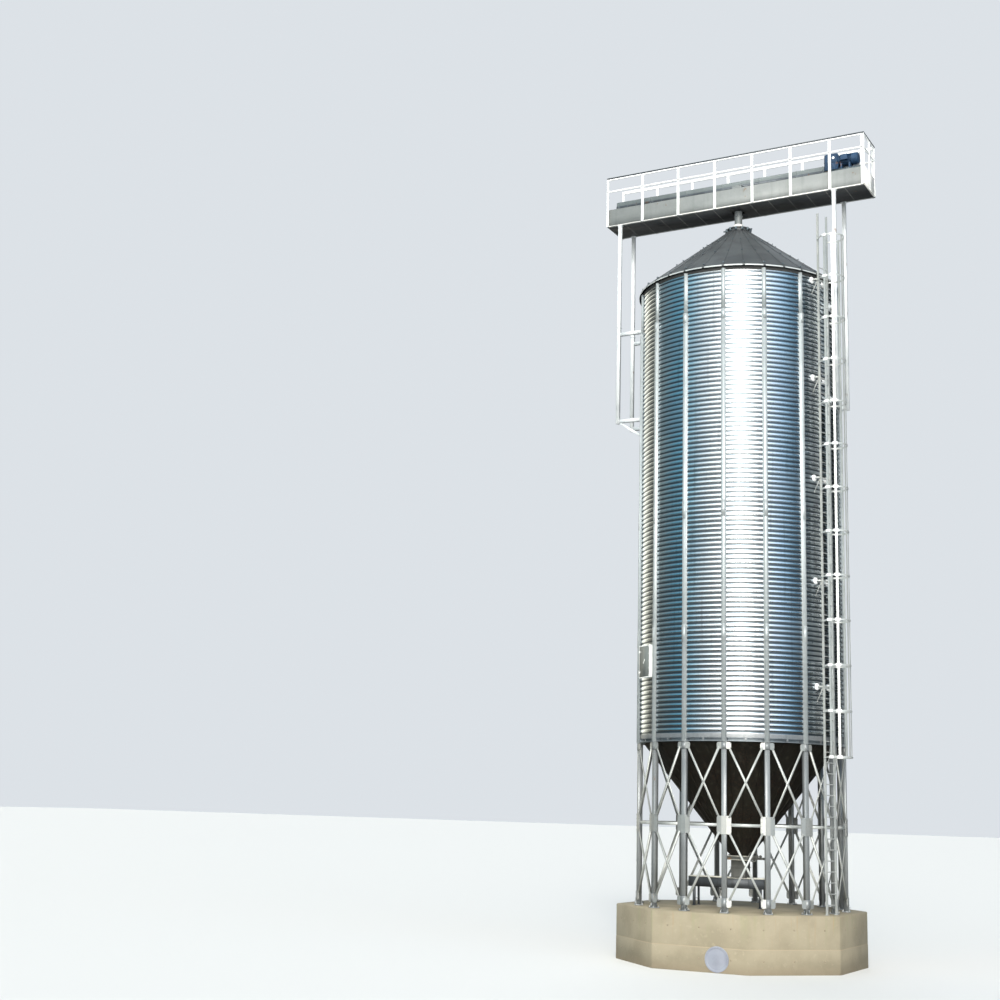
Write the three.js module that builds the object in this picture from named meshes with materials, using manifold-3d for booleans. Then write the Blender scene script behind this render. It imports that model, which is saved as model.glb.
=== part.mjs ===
// A grain silo with a hopper bottom: an octagonal concrete plinth, sixteen steel legs with their
// bracing, a corrugated wall, a cone hopper and a cone roof. A caged ladder climbs its right side,
// and one bay of the filling gallery stands over its roof on posts bolted to the wall.
// Millimetres, +Z up. The silo's axis is the Z axis and the ground is z = 0. The gallery and the
// row of silos run along X, and the front of the silo faces -Y.
import * as THREE from "three";
import { mergeVertices } from "three/addons/utils/BufferGeometryUtils.js";
import Module from "manifold-3d";

const wasm = await Module();
wasm.setup();

// Driving dimensions
const FIT = 0.3; // gap between pieces that touch
const WALL_RADIUS = 3055;
const WALL_THICKNESS = 30;
const COLUMNS = 16;
const PLINTH_HEIGHT = 1560;
const PLINTH_APOTHEM = 3370;
const LEG_HEIGHT = 4780; // plinth top to the wall's lower edge
const WALL_HEIGHT = 13900;
const ROOF_RISE = 2150; // eave to the roof's collar
const MID_STRUT_DROP = 2410; // wall's lower edge down to the middle strut
const OUTLET_DROP = 3300; // wall's lower edge down to the hopper's outlet
const GALLERY_HALF_WIDTH = 605;
const GALLERY_RIGHT = 4220;
const RAIL_PITCH = 1250;
const RAIL_END_BAY = 1040;
const RAIL_POSTS = 8;
const GALLERY_OVER_EAVE = 2900; // eave up to the underside of the gallery's beams
const RAIL_TOP_HEIGHT = 1700; // underside of the beams up to the top rail
const POST_X_RIGHT = 3276;
const POST_X_LEFT = -3884;
const POST_LENGTH = 6740;
const LADDER_ANGLE = 70; // degrees from the front, towards the right
const LADDER_STANDOFF = 190;

// Levels worked out from them
const WALL_BOTTOM = PLINTH_HEIGHT + LEG_HEIGHT;
const EAVE = WALL_BOTTOM + WALL_HEIGHT;
const STRUT_Z = WALL_BOTTOM - MID_STRUT_DROP;
const OUTLET_Z = WALL_BOTTOM - OUTLET_DROP;
const GALLERY_Z = EAVE + GALLERY_OVER_EAVE;
const RAIL_TOP = GALLERY_Z + RAIL_TOP_HEIGHT;
const BAY = (2 * Math.PI) / COLUMNS;
const FIRST_COLUMN = BAY / 2;
const QUARTERS = ["right_front", "right_rear", "left_rear", "left_front"];
const BAYS_PER_QUARTER = COLUMNS / QUARTERS.length;

const finish = (color, roughness, metalness) =>
  new THREE.MeshStandardMaterial({ color, roughness, metalness });
const GALVANISED = finish(0xb9c2c9, 0.38, 0.85);
const FRAME_STEEL = finish(0xaab4bb, 0.5, 0.7);
const ROOF_STEEL = finish(0x6f7c85, 0.5, 0.6);
const WHITE_STEEL = finish(0xe3e6e4, 0.5, 0.2);
const MACHINE_PAINT = finish(0x5f7480, 0.5, 0.3);
const CONCRETE = finish(0xcdbf9f, 0.9, 0.0);

const silo = new THREE.Group();

// Adds one named piece to the silo.
function piece(name, geometry, material) {
  const mesh = new THREE.Mesh(geometry, material);
  mesh.name = name;
  silo.add(mesh);
}

// Turns a closed geometry into a solid that can be joined and cut.
function solid(geometry) {
  const bare = geometry.clone();
  bare.deleteAttribute("normal");
  bare.deleteAttribute("uv");
  const merged = mergeVertices(bare, 1e-3);
  return new wasm.Manifold(
    new wasm.Mesh({
      numProp: 3,
      vertProperties: merged.attributes.position.array,
      triVerts: new Uint32Array(merged.index.array),
    }),
  );
}

// Turns a solid back into a geometry.
function shell(made) {
  const mesh = made.getMesh();
  const geometry = new THREE.BufferGeometry();
  geometry.setAttribute("position", new THREE.BufferAttribute(mesh.vertProperties, 3));
  geometry.setIndex(new THREE.BufferAttribute(mesh.triVerts, 1));
  return geometry;
}

// Joins a list of geometries into one solid.
const join = (geometries) => geometries.map(solid).reduce((a, b) => a.add(b));

// A box between two corners.
function block(x0, y0, z0, x1, y1, z1) {
  const box = new THREE.BoxGeometry(x1 - x0, y1 - y0, z1 - z0);
  return box.translate((x0 + x1) / 2, (y0 + y1) / 2, (z0 + z1) / 2);
}

// An upright prism on a closed outline of [x, y] points.
function prism(points, z0, z1) {
  const outline = new THREE.Shape(points.map(([x, y]) => new THREE.Vector2(x, y)));
  const body = new THREE.ExtrudeGeometry(outline, { depth: z1 - z0, bevelEnabled: false });
  return body.translate(0, 0, z0);
}

// A closed [radius, z] profile turned once round the silo's axis.
function revolve(profile, segments) {
  const points = profile.concat([profile[0]]).map(([r, z]) => new THREE.Vector2(r, z));
  return new THREE.LatheGeometry(points, segments).rotateX(Math.PI / 2);
}

// A round bar along Z, centred on the origin.
function disc(radius, length, segments) {
  return new THREE.CylinderGeometry(radius, radius, length, segments).rotateX(Math.PI / 2);
}

// A square bar of width (across) and depth (along the normal) from one point to another.
function bar(from, to, width, depth, normal) {
  const along = new THREE.Vector3().subVectors(to, from);
  const length = along.length();
  const zAxis = along.normalize();
  const yAxis = normal.clone().addScaledVector(zAxis, -normal.dot(zAxis)).normalize();
  const xAxis = new THREE.Vector3().crossVectors(yAxis, zAxis);
  const turn = new THREE.Matrix4().makeBasis(xAxis, yAxis, zAxis);
  const middle = new THREE.Vector3().addVectors(from, to).multiplyScalar(0.5);
  return new THREE.BoxGeometry(width, depth, length).applyMatrix4(turn.setPosition(middle));
}

// Turns a shape drawn at the front of the silo, outwards along -Y, to its place round the axis.
const around = (geometry, angle) => geometry.rotateZ(angle);

// A point on a circle round the axis: the angle counts from the front towards the right.
function onCircle(radius, angle, z) {
  return new THREE.Vector3(radius * Math.sin(angle), -radius * Math.cos(angle), z);
}

// Plinth: an octagon whose flat sides face the front, the back and the neighbours.
const DUCT_RADIUS = 345;
const DUCT_X = 520;
const DUCT_Z = 360;
const DUCT_COVER = 26;
{
  const corner = PLINTH_APOTHEM / Math.cos(Math.PI / 8);
  const outline = Array.from({ length: 8 }, (_, i) => {
    const p = onCircle(corner, Math.PI / 8 + (i * Math.PI) / 4, 0);
    return [p.x, p.y];
  });
  piece("plinth", prism(outline, 0, PLINTH_HEIGHT), CONCRETE);
  // A round cover closes the duct mouth low in the plinth's front.
  const cover = disc(DUCT_RADIUS, DUCT_COVER, 24).rotateX(Math.PI / 2);
  cover.translate(DUCT_X, -PLINTH_APOTHEM - DUCT_COVER / 2 - FIT, DUCT_Z);
  piece("duct_cover", cover, MACHINE_PAINT);
}

// Columns: a leg under the ring and the wall's stiffener above it, in one line.
const LEG_WIDTH = 140;
const LEG_FACE = 3090;
const LEG_BACK = 2970;
const COLUMN_FACE = WALL_RADIUS + 75; // outer face of the stiffeners
const STIFFENER_WIDTH = 150;
const RING_HEIGHT = 100;
const RING_BOTTOM = WALL_BOTTOM - RING_HEIGHT;
const COLUMN_TOP = EAVE - 60;
const BASE_PLATE = 25;
const BASE_HALF = 120;
const BASE_LIP = 60; // how far the base plate stands out before and behind the leg
const STIFFENER_LAP = 20; // how far the stiffener reaches down the leg
const columnAngle = (i) => FIRST_COLUMN + i * BAY;

for (let i = 0; i < COLUMNS; i++) {
  const half = LEG_WIDTH / 2;
  const slim = STIFFENER_WIDTH / 2;
  const foot = PLINTH_HEIGHT + FIT;
  const column = join([
    block(-BASE_HALF, -LEG_FACE - BASE_LIP, foot, BASE_HALF, -LEG_BACK + BASE_LIP,
      foot + BASE_PLATE),
    block(-half, -LEG_FACE, foot, half, -LEG_BACK, RING_BOTTOM - FIT),
    block(-slim, -COLUMN_FACE, RING_BOTTOM - STIFFENER_LAP, slim, -WALL_RADIUS - FIT,
      COLUMN_TOP),
  ]);
  const name = "column_" + String(i + 1).padStart(2, "0");
  piece(name, around(shell(column), columnAngle(i)), FRAME_STEEL);
}

// Bracing: two tiers of crossed bars and a strut in each bay, joined by gussets on the faces of the
// legs. Each gusset is a plate bent twice, so that its wings lie in line with the two bays beside
// its leg. Each quarter of the circle is one welded and bolted frame.
const BRACE_DEPTH = 12; // a gusset plate; the bars between the plates are thinner
const BRACE_WIDTH = 60;
const STRUT_WIDTH = 85;
const BRACE_INSET = 90; // from a leg's middle to the end of each bar
const BRACE_LAP = 60; // how far a bar's end lies inside its gussets
const GUSSET_FOLD = 70; // from a leg's middle to the bend in its gussets
const GUSSET_LAP = 10; // how far a wing reaches back past its bend
const GUSSET_REACH = 205;
const GUSSET_SEAT = LEG_FACE + FIT;
const BRACE_RADIUS = GUSSET_SEAT
  + GUSSET_FOLD * Math.tan(BAY / 2) + BRACE_DEPTH / 2 / Math.cos(BAY / 2);
const TOP_GUSSET = [WALL_BOTTOM - 320, WALL_BOTTOM - 130];
const MID_GUSSET = [STRUT_Z - 250, STRUT_Z + 250];
const FOOT_GUSSET = [PLINTH_HEIGHT + 160, PLINTH_HEIGHT + 400];

// One bay's bars and gussets, between two neighbouring columns.
function bracingBay(first) {
  const a0 = columnAngle(first);
  const a1 = columnAngle(first + 1);
  const normal = onCircle(1, (a0 + a1) / 2, 0);
  const at = (angle, reach, z) => {
    const near = onCircle(BRACE_RADIUS, angle, z);
    const far = onCircle(BRACE_RADIUS, angle === a0 ? a1 : a0, z);
    return near.addScaledVector(far.sub(near).normalize(), reach);
  };
  const cross = (low, high, width, depth) => {
    const from = at(a0, BRACE_INSET, low);
    const to = at(a1, BRACE_INSET, high);
    return bar(from, to, width, depth, normal);
  };
  const lower = [FOOT_GUSSET[1] - BRACE_LAP, MID_GUSSET[0] + BRACE_LAP];
  const upper = [MID_GUSSET[1] - BRACE_LAP, TOP_GUSSET[0] + BRACE_LAP];
  const parts = [
    cross(lower[0], lower[1], BRACE_WIDTH, BRACE_DEPTH - 2),
    cross(lower[1], lower[0], BRACE_WIDTH, BRACE_DEPTH - 4),
    cross(upper[0], upper[1], BRACE_WIDTH, BRACE_DEPTH - 2),
    cross(upper[1], upper[0], BRACE_WIDTH, BRACE_DEPTH - 4),
    cross(STRUT_Z, STRUT_Z, STRUT_WIDTH, BRACE_DEPTH - 2),
  ];
  for (const [low, high] of [FOOT_GUSSET, MID_GUSSET, TOP_GUSSET]) {
    const z = (low + high) / 2;
    for (const angle of [a0, a1]) {
      const ends = [at(angle, GUSSET_FOLD - GUSSET_LAP, z), at(angle, GUSSET_REACH, z)];
      const face = block(-GUSSET_FOLD, -GUSSET_SEAT - BRACE_DEPTH, low, GUSSET_FOLD, -GUSSET_SEAT,
        high);
      parts.push(bar(...ends, high - low, BRACE_DEPTH, normal), around(face, angle));
    }
  }
  return join(parts);
}

// An upright wedge round the axis, which parts one bracing frame from the next.
function wedge(from, to) {
  const reach = 2 * COLUMN_FACE;
  const steps = 6;
  const rim = Array.from({ length: steps + 1 }, (_, i) => {
    const p = onCircle(reach, from + ((to - from) * i) / steps, 0);
    return [p.x, p.y];
  });
  return solid(prism([[0, 0], ...rim], 0, EAVE));
}

QUARTERS.forEach((name, q) => {
  const first = q * BAYS_PER_QUARTER;
  const last = first + BAYS_PER_QUARTER;
  let frame = bracingBay(first);
  for (let i = first + 1; i < last; i++) {
    frame = frame.add(bracingBay(i));
  }
  // The cut lies just beside the middle of a leg, through the gussets on its face.
  const edge = BRACE_DEPTH / WALL_RADIUS;
  const gap = (2 * FIT) / WALL_RADIUS;
  const share = wedge(columnAngle(first) - edge, columnAngle(last) - edge - gap);
  piece("bracing_" + name, shell(frame.intersect(share)), FRAME_STEEL);
});

// Ring girder under the wall, on top of the legs.
const FACETS = 64; // sides of the wall
const RING_FACETS = 32; // sides of the ring, the hopper and the roof
const RING_INNER = 2860;
const RING_OUTER = WALL_RADIUS - 5;
{
  const ring = [
    [RING_INNER, RING_BOTTOM],
    [RING_OUTER, RING_BOTTOM],
    [RING_OUTER, WALL_BOTTOM - FIT],
    [RING_INNER, WALL_BOTTOM - FIT],
  ];
  piece("ring_girder", revolve(ring, RING_FACETS), FRAME_STEEL);
}

// Wall: four curved shells four bays wide, whose joints lie behind the stiffeners.
QUARTERS.forEach((name, q) => {
  const facets = FACETS / QUARTERS.length;
  const start = columnAngle(q * BAYS_PER_QUARTER);
  const step = (BAYS_PER_QUARTER * BAY) / facets;
  const trim = FIT / 2 / WALL_RADIUS;
  const angles = Array.from({ length: facets + 1 }, (_, i) => start + i * step);
  angles[0] += trim;
  angles[facets] -= trim;
  const edge = (radius) => angles.map((a) => onCircle(radius, a, 0)).map((p) => [p.x, p.y]);
  const outline = edge(WALL_RADIUS).concat(edge(WALL_RADIUS - WALL_THICKNESS).reverse());
  piece("wall_" + name, prism(outline, WALL_BOTTOM, EAVE), GALVANISED);
});

// The space of the faceted wall, and of one stiffener, with a small gap all round.
function wallSpace() {
  const outline = Array.from({ length: FACETS }, (_, i) => {
    const p = onCircle(WALL_RADIUS + FIT, (i * 2 * Math.PI) / FACETS, 0);
    return [p.x, p.y];
  });
  return solid(prism(outline, RING_BOTTOM, EAVE + 5));
}
function stiffenerSpace(angle) {
  const half = STIFFENER_WIDTH / 2 + FIT;
  const face = COLUMN_FACE + FIT;
  return solid(around(block(-half, -face, RING_BOTTOM, half, -face + 200, COLUMN_TOP + FIT), angle));
}

// Roof: a cone of pressed panels that oversails the wall.
const EAVE_RADIUS = WALL_RADIUS + 85;
const ROOF_THICKNESS = 30;
const EAVE_FILLET = 200; // the solid strip over the wall's top, up to the panels
const COLLAR_RADIUS = 350;
const COLLAR_WALL = 25;
const ROOF_SLOPE = Math.atan2(ROOF_RISE, EAVE_RADIUS - COLLAR_RADIUS);
const ROOF_DEPTH = ROOF_THICKNESS / Math.cos(ROOF_SLOPE); // the panels' thickness measured upright
const ROOF_EDGE = EAVE + FIT + ROOF_DEPTH;
const ROOF_TOP = ROOF_EDGE + ROOF_RISE;
{
  const hole = COLLAR_RADIUS - COLLAR_WALL;
  const underside = (r) => EAVE + FIT + (EAVE_RADIUS - r) * Math.tan(ROOF_SLOPE);
  const inner = WALL_RADIUS - WALL_THICKNESS;
  const roof = [
    [hole, underside(hole)],
    [inner - EAVE_FILLET, underside(inner - EAVE_FILLET)],
    [inner - 20, EAVE + FIT],
    [EAVE_RADIUS, EAVE + FIT],
    [EAVE_RADIUS, ROOF_EDGE],
    [COLLAR_RADIUS, ROOF_TOP],
    [hole, ROOF_TOP],
  ];
  piece("roof", revolve(roof, RING_FACETS), ROOF_STEEL);
}

// Roof cap: an upright collar on the roof's open top and a low domed lid with a round inlet.
const CAP_SEAT = ROOF_TOP + FIT;
const COLLAR_HEIGHT = 90;
const DOME_HEIGHT = 90;
const CAP_LIP = 30;
const CAP_TOP = CAP_SEAT + COLLAR_HEIGHT + DOME_HEIGHT;
const INLET_RADIUS = 120;
{
  const rim = CAP_SEAT + COLLAR_HEIGHT;
  const cap = [
    [COLLAR_RADIUS - COLLAR_WALL, CAP_SEAT],
    [COLLAR_RADIUS, CAP_SEAT],
    [COLLAR_RADIUS, rim],
    [COLLAR_RADIUS + CAP_LIP, rim],
    [COLLAR_RADIUS + CAP_LIP, rim + 25],
    [INLET_RADIUS + 50, CAP_TOP],
    [INLET_RADIUS, CAP_TOP],
    [INLET_RADIUS, rim + 40],
    [COLLAR_RADIUS - COLLAR_WALL, rim],
  ];
  piece("roof_cap", revolve(cap, 20), ROOF_STEEL);
}

// Hopper: a steel cone hung inside the ring, with a flange round its outlet.
const HOPPER_TOP = WALL_BOTTOM - 12;
const HOPPER_RADIUS = RING_INNER - FIT;
const HOPPER_THICKNESS = 25;
const OUTLET_RADIUS = 300;
const OUTLET_FLANGE = 60;
const FLANGE_THICKNESS = 20;
{
  const waist = RING_BOTTOM - 20;
  const hopper = [
    [HOPPER_RADIUS - HOPPER_THICKNESS, HOPPER_TOP],
    [HOPPER_RADIUS - HOPPER_THICKNESS, waist + 12],
    [OUTLET_RADIUS - HOPPER_THICKNESS, OUTLET_Z + 12],
    [OUTLET_RADIUS - HOPPER_THICKNESS, OUTLET_Z],
    [OUTLET_RADIUS + OUTLET_FLANGE, OUTLET_Z],
    [OUTLET_RADIUS + OUTLET_FLANGE, OUTLET_Z + FLANGE_THICKNESS],
    [OUTLET_RADIUS + 6, OUTLET_Z + FLANGE_THICKNESS],
    [HOPPER_RADIUS, waist],
    [HOPPER_RADIUS, HOPPER_TOP],
  ];
  piece("hopper", revolve(hopper, RING_FACETS), GALVANISED);
}

// Outlet: a slide gate under the hopper, its rack arms, and a square spout down to the conveyor.
const GATE_TOP = OUTLET_Z - FIT;
const GATE_HALF = 380;
const GATE_BOTTOM = GATE_TOP - 120;
const RACK_Y = 210;
const RACK_REACH = GATE_HALF + 420;
const RACK_LOW = GATE_TOP - 95;
const RACK_HIGH = GATE_TOP - 30;
const SPOUT_HALF = 217;
const SPOUT_INSIDE = SPOUT_HALF - 12;
const TROUGH_TOP = 2420;
const TROUGH_BOTTOM = 2110;
{
  const arm = (y) => block(GATE_HALF - 40, y - 20, RACK_LOW, RACK_REACH, y + 20, RACK_HIGH);
  const body = join([
    block(-GATE_HALF, -GATE_HALF, GATE_BOTTOM, GATE_HALF, GATE_HALF, GATE_TOP),
    block(-SPOUT_HALF, -SPOUT_HALF, TROUGH_TOP + FIT, SPOUT_HALF, SPOUT_HALF, GATE_BOTTOM + 5),
    arm(-RACK_Y),
    arm(RACK_Y),
    block(RACK_REACH - 40, -RACK_Y - 20, RACK_LOW, RACK_REACH, RACK_Y + 20, RACK_HIGH),
  ]);
  const bore = block(-SPOUT_INSIDE, -SPOUT_INSIDE, 0, SPOUT_INSIDE, SPOUT_INSIDE, OUTLET_Z + 50);
  piece("outlet_gate", shell(body.subtract(solid(bore))), FRAME_STEEL);
}

// Discharge conveyor: a low closed trough on four legs under the outlet.
const TROUGH_LEFT = -1550;
const TROUGH_RIGHT = 820;
const TROUGH_HALF = 230;
{
  const wall = 15;
  const inside = TROUGH_HALF - wall;
  const body = solid(
    block(TROUGH_LEFT, -TROUGH_HALF, TROUGH_BOTTOM, TROUGH_RIGHT, TROUGH_HALF, TROUGH_TOP),
  );
  const hollow = join([
    block(TROUGH_LEFT + wall, -inside, TROUGH_BOTTOM + wall, TROUGH_RIGHT - wall, inside,
      TROUGH_TOP - wall),
    block(-SPOUT_INSIDE, -SPOUT_INSIDE, TROUGH_TOP - 60, SPOUT_INSIDE, SPOUT_INSIDE,
      TROUGH_TOP + 60),
  ]);
  const legs = [];
  const reach = TROUGH_HALF - 30;
  const tie = PLINTH_HEIGHT + 200;
  for (const x of [TROUGH_LEFT + 160, TROUGH_RIGHT - 160]) {
    for (const y of [-reach, reach]) {
      legs.push(block(x - 35, y - 35, PLINTH_HEIGHT + FIT, x + 35, y + 35, TROUGH_BOTTOM + 5));
    }
    legs.push(block(x - 25, -reach, tie, x + 25, reach, tie + 50));
  }
  piece("discharge_trough", shell(body.subtract(hollow).add(join(legs))), FRAME_STEEL);
}

// Inspection hatch on the lower wall, between two stiffeners on the left of the front.
const HATCH_ANGLE = THREE.MathUtils.degToRad(-42);
const HATCH_Z = WALL_BOTTOM + 2240;
const HATCH_HALF = 360;
const HATCH_RISE = 478;
const HATCH_INSET = 15; // from the lid's edge in to the frame behind it
const LID_DEPTH = 35;
{
  const plate = (half, rise, y0, y1) => block(-half, y0, HATCH_Z - rise, half, y1, HATCH_Z + rise);
  const hatch = join([
    plate(HATCH_HALF, HATCH_RISE, -WALL_RADIUS - 120, -WALL_RADIUS - 120 + LID_DEPTH),
    plate(HATCH_HALF - HATCH_INSET, HATCH_RISE - HATCH_INSET, -WALL_RADIUS - 100,
      -WALL_RADIUS + 40),
  ]);
  const placed = solid(around(shell(hatch), HATCH_ANGLE));
  piece("inspection_hatch", shell(placed.subtract(wallSpace())), FRAME_STEEL);
}

// Ladder: two stiles and square rungs up the wall and past the eave, on pairs of wall brackets.
const LADDER = THREE.MathUtils.degToRad(LADDER_ANGLE);
const LADDER_RADIUS = WALL_RADIUS + LADDER_STANDOFF;
const LADDER_HALF = 215;
const LADDER_TOP = EAVE + 1900;
const STILE_WIDTH = 40;
const STILE_DEPTH = 60;
const RUNG = 28;
const RUNG_PITCH = 300;
const BRACKETS = 5;
const BRACKET_TOP = EAVE - 200;
const BRACKET_PITCH = 3045;
const BRACKET_HALF = 280; // from the ladder's middle to each foot on the wall
const FOOT_PLATE = 180;
const FIRST_RUNG = 250;
{
  const foot = PLINTH_HEIGHT + FIT;
  const front = -LADDER_RADIUS - STILE_DEPTH / 2;
  const back = -LADDER_RADIUS + STILE_DEPTH / 2;
  const wall = -WALL_RADIUS + 60;
  const plate = FOOT_PLATE / 2;
  const parts = [];
  for (const x of [-LADDER_HALF, LADDER_HALF]) {
    parts.push(block(x - STILE_WIDTH / 2, front, foot, x + STILE_WIDTH / 2, back, LADDER_TOP));
  }
  for (let z = foot + FIRST_RUNG; z < EAVE + 400; z += RUNG_PITCH) {
    const y = -LADDER_RADIUS - RUNG / 2;
    parts.push(block(-LADDER_HALF, y, z, LADDER_HALF, y + RUNG, z + RUNG));
  }
  for (let k = 0; k < BRACKETS; k++) {
    const z = BRACKET_TOP - k * BRACKET_PITCH;
    parts.push(block(-BRACKET_HALF, back - 15, z - 25, BRACKET_HALF, back + 25, z + 25));
    for (const x of [-BRACKET_HALF, BRACKET_HALF]) {
      parts.push(block(x - 25, back - 15, z - 25, x + 25, wall, z + 25));
      parts.push(block(x - plate, -WALL_RADIUS - 45, z - plate, x + plate, wall, z + plate));
    }
  }
  const ladder = solid(around(shell(join(parts)), LADDER));
  piece("ladder", shell(ladder.subtract(wallSpace())), WHITE_STEEL);
}

// Ladder cage: hoops of flat bar from stile to stile, with three upright straps inside them.
const HOOPS = 13;
const HOOP_TOP = EAVE + 1080;
const HOOP_PITCH = 1287;
const HOOP_RADIUS = 370;
const HOOP_THICKNESS = 12;
const HOOP_HEIGHT = 50;
const HOOP_FACETS = 10;
const CAGE_CENTRE = -LADDER_RADIUS - 345;
{
  // One edge of a hoop: an arc round to the flank of each stile, with a straight tail at its ends.
  const edge = (radius, flank) => {
    const end = Math.PI - Math.asin(flank / radius);
    const arc = Array.from({ length: HOOP_FACETS + 1 }, (_, i) => {
      const a = -end + (2 * end * i) / HOOP_FACETS;
      return [radius * Math.sin(a), CAGE_CENTRE - radius * Math.cos(a)];
    });
    return [[-flank, -LADDER_RADIUS], ...arc, [flank, -LADDER_RADIUS]];
  };
  const inner = HOOP_RADIUS - HOOP_THICKNESS;
  const flank = LADDER_HALF + STILE_WIDTH / 2 + FIT;
  const outline = edge(HOOP_RADIUS, flank + HOOP_THICKNESS).concat(edge(inner, flank).reverse());
  const parts = [];
  for (let k = 0; k < HOOPS; k++) {
    const z = HOOP_TOP - k * HOOP_PITCH;
    parts.push(prism(outline, z - HOOP_HEIGHT / 2, z + HOOP_HEIGHT / 2));
  }
  const high = HOOP_TOP + HOOP_HEIGHT / 2;
  const low = HOOP_TOP - (HOOPS - 1) * HOOP_PITCH - HOOP_HEIGHT / 2;
  for (const degrees of [-90, 0, 90]) {
    const strap = block(-25, -inner - 2, low, 25, -inner + 30, high);
    strap.rotateZ(THREE.MathUtils.degToRad(degrees)).translate(0, CAGE_CENTRE, 0);
    parts.push(strap);
  }
  piece("ladder_cage", around(shell(join(parts)), LADDER), WHITE_STEEL);
}

// Gallery floor: a deep folded beam along each edge, a plate let in between them, cross members
// under the plate and a thin sheet that closes the underside.
const railPosts = [GALLERY_RIGHT - 25];
for (let i = 0; i < RAIL_POSTS - 1; i++) {
  railPosts.push(GALLERY_RIGHT - RAIL_END_BAY - i * RAIL_PITCH);
}
const GALLERY_LEFT = railPosts[RAIL_POSTS - 1] - 25;
const BEAM_HEIGHT = 590;
const BEAM_WEB = 12;
const BEAM_FLANGE = 70;
const DECK_Z = GALLERY_Z + 430;
const DECK_THICKNESS = 25;
const CROSS_HEIGHT = 100;
const BOTTOM_SHEET = 8;
const HOLE_HALF = 180; // half the hole in the floor for the drop pipe
const HOLE_Y = 30;
{
  const inner = GALLERY_HALF_WIDTH - BEAM_FLANGE;
  const reach = GALLERY_HALF_WIDTH - BEAM_WEB / 2;
  const along = (y0, y1, z0, z1) => block(GALLERY_LEFT, y0, z0, GALLERY_RIGHT, y1, z1);
  const top = GALLERY_Z + BEAM_HEIGHT;
  const parts = [
    along(-reach, reach, DECK_Z, DECK_Z + DECK_THICKNESS),
    along(-reach, reach, GALLERY_Z, GALLERY_Z + BOTTOM_SHEET),
  ];
  for (const [y0, y1, web] of [
    [-GALLERY_HALF_WIDTH, -inner, -GALLERY_HALF_WIDTH],
    [inner, GALLERY_HALF_WIDTH, GALLERY_HALF_WIDTH - BEAM_WEB],
  ]) {
    parts.push(along(y0, y1, GALLERY_Z, GALLERY_Z + BEAM_WEB));
    parts.push(along(y0, y1, top - BEAM_WEB, top));
    parts.push(along(web, web + BEAM_WEB, GALLERY_Z, top));
  }
  for (const x of railPosts) {
    parts.push(block(x - 25, -reach, DECK_Z - CROSS_HEIGHT, x + 25, reach, DECK_Z + 5));
  }
  const hole = block(-HOLE_HALF, HOLE_Y - HOLE_HALF, GALLERY_Z - 50, HOLE_HALF,
    HOLE_Y + HOLE_HALF, DECK_Z + 50);
  piece("gallery_floor", shell(join(parts).subtract(solid(hole))), WHITE_STEEL);
}

// Guard rails: posts on the outside of the beams, with a top rail and a middle rail. The front
// rail also turns round the right end.
const RAIL_DEPTH = 45;
const RAIL_TOP_SIZE = 70;
const RAIL_POST_HALF = 42;
const MID_RAIL = RAIL_TOP - 460;
const MID_RAIL_SIZE = 55;
{
  const face = GALLERY_HALF_WIDTH + FIT;
  const end = GALLERY_RIGHT + FIT;
  const side = (y0) => {
    const y1 = y0 + RAIL_DEPTH;
    return [
      block(GALLERY_LEFT, y0, RAIL_TOP - RAIL_TOP_SIZE, GALLERY_RIGHT, y1, RAIL_TOP),
      block(GALLERY_LEFT, y0, MID_RAIL - MID_RAIL_SIZE, GALLERY_RIGHT, y1, MID_RAIL),
      ...railPosts.map((x) => block(Math.max(x - RAIL_POST_HALF, GALLERY_LEFT), y0, GALLERY_Z + 5,
        Math.min(x + RAIL_POST_HALF, GALLERY_RIGHT), y1, RAIL_TOP - 5)),
    ];
  };
  const across = (y0, y1, z0, z1) => block(end, y0, z0, end + RAIL_DEPTH, y1, z1);
  const corner = -face - RAIL_DEPTH;
  const round = [
    across(corner, face, RAIL_TOP - RAIL_TOP_SIZE, RAIL_TOP),
    across(corner, face, MID_RAIL - MID_RAIL_SIZE, MID_RAIL),
    across(-25, 25, GALLERY_Z + 5, RAIL_TOP - 5),
    across(corner, face, GALLERY_Z + 5, GALLERY_Z + BEAM_HEIGHT),
    block(GALLERY_RIGHT - RAIL_POST_HALF, corner, GALLERY_Z + 5, end + RAIL_DEPTH, -face,
      RAIL_TOP - 5),
  ];
  piece("guard_rail_front", shell(join([...side(corner), ...round])), WHITE_STEEL);
  piece("guard_rail_rear", shell(join(side(face))), WHITE_STEEL);
}

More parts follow.
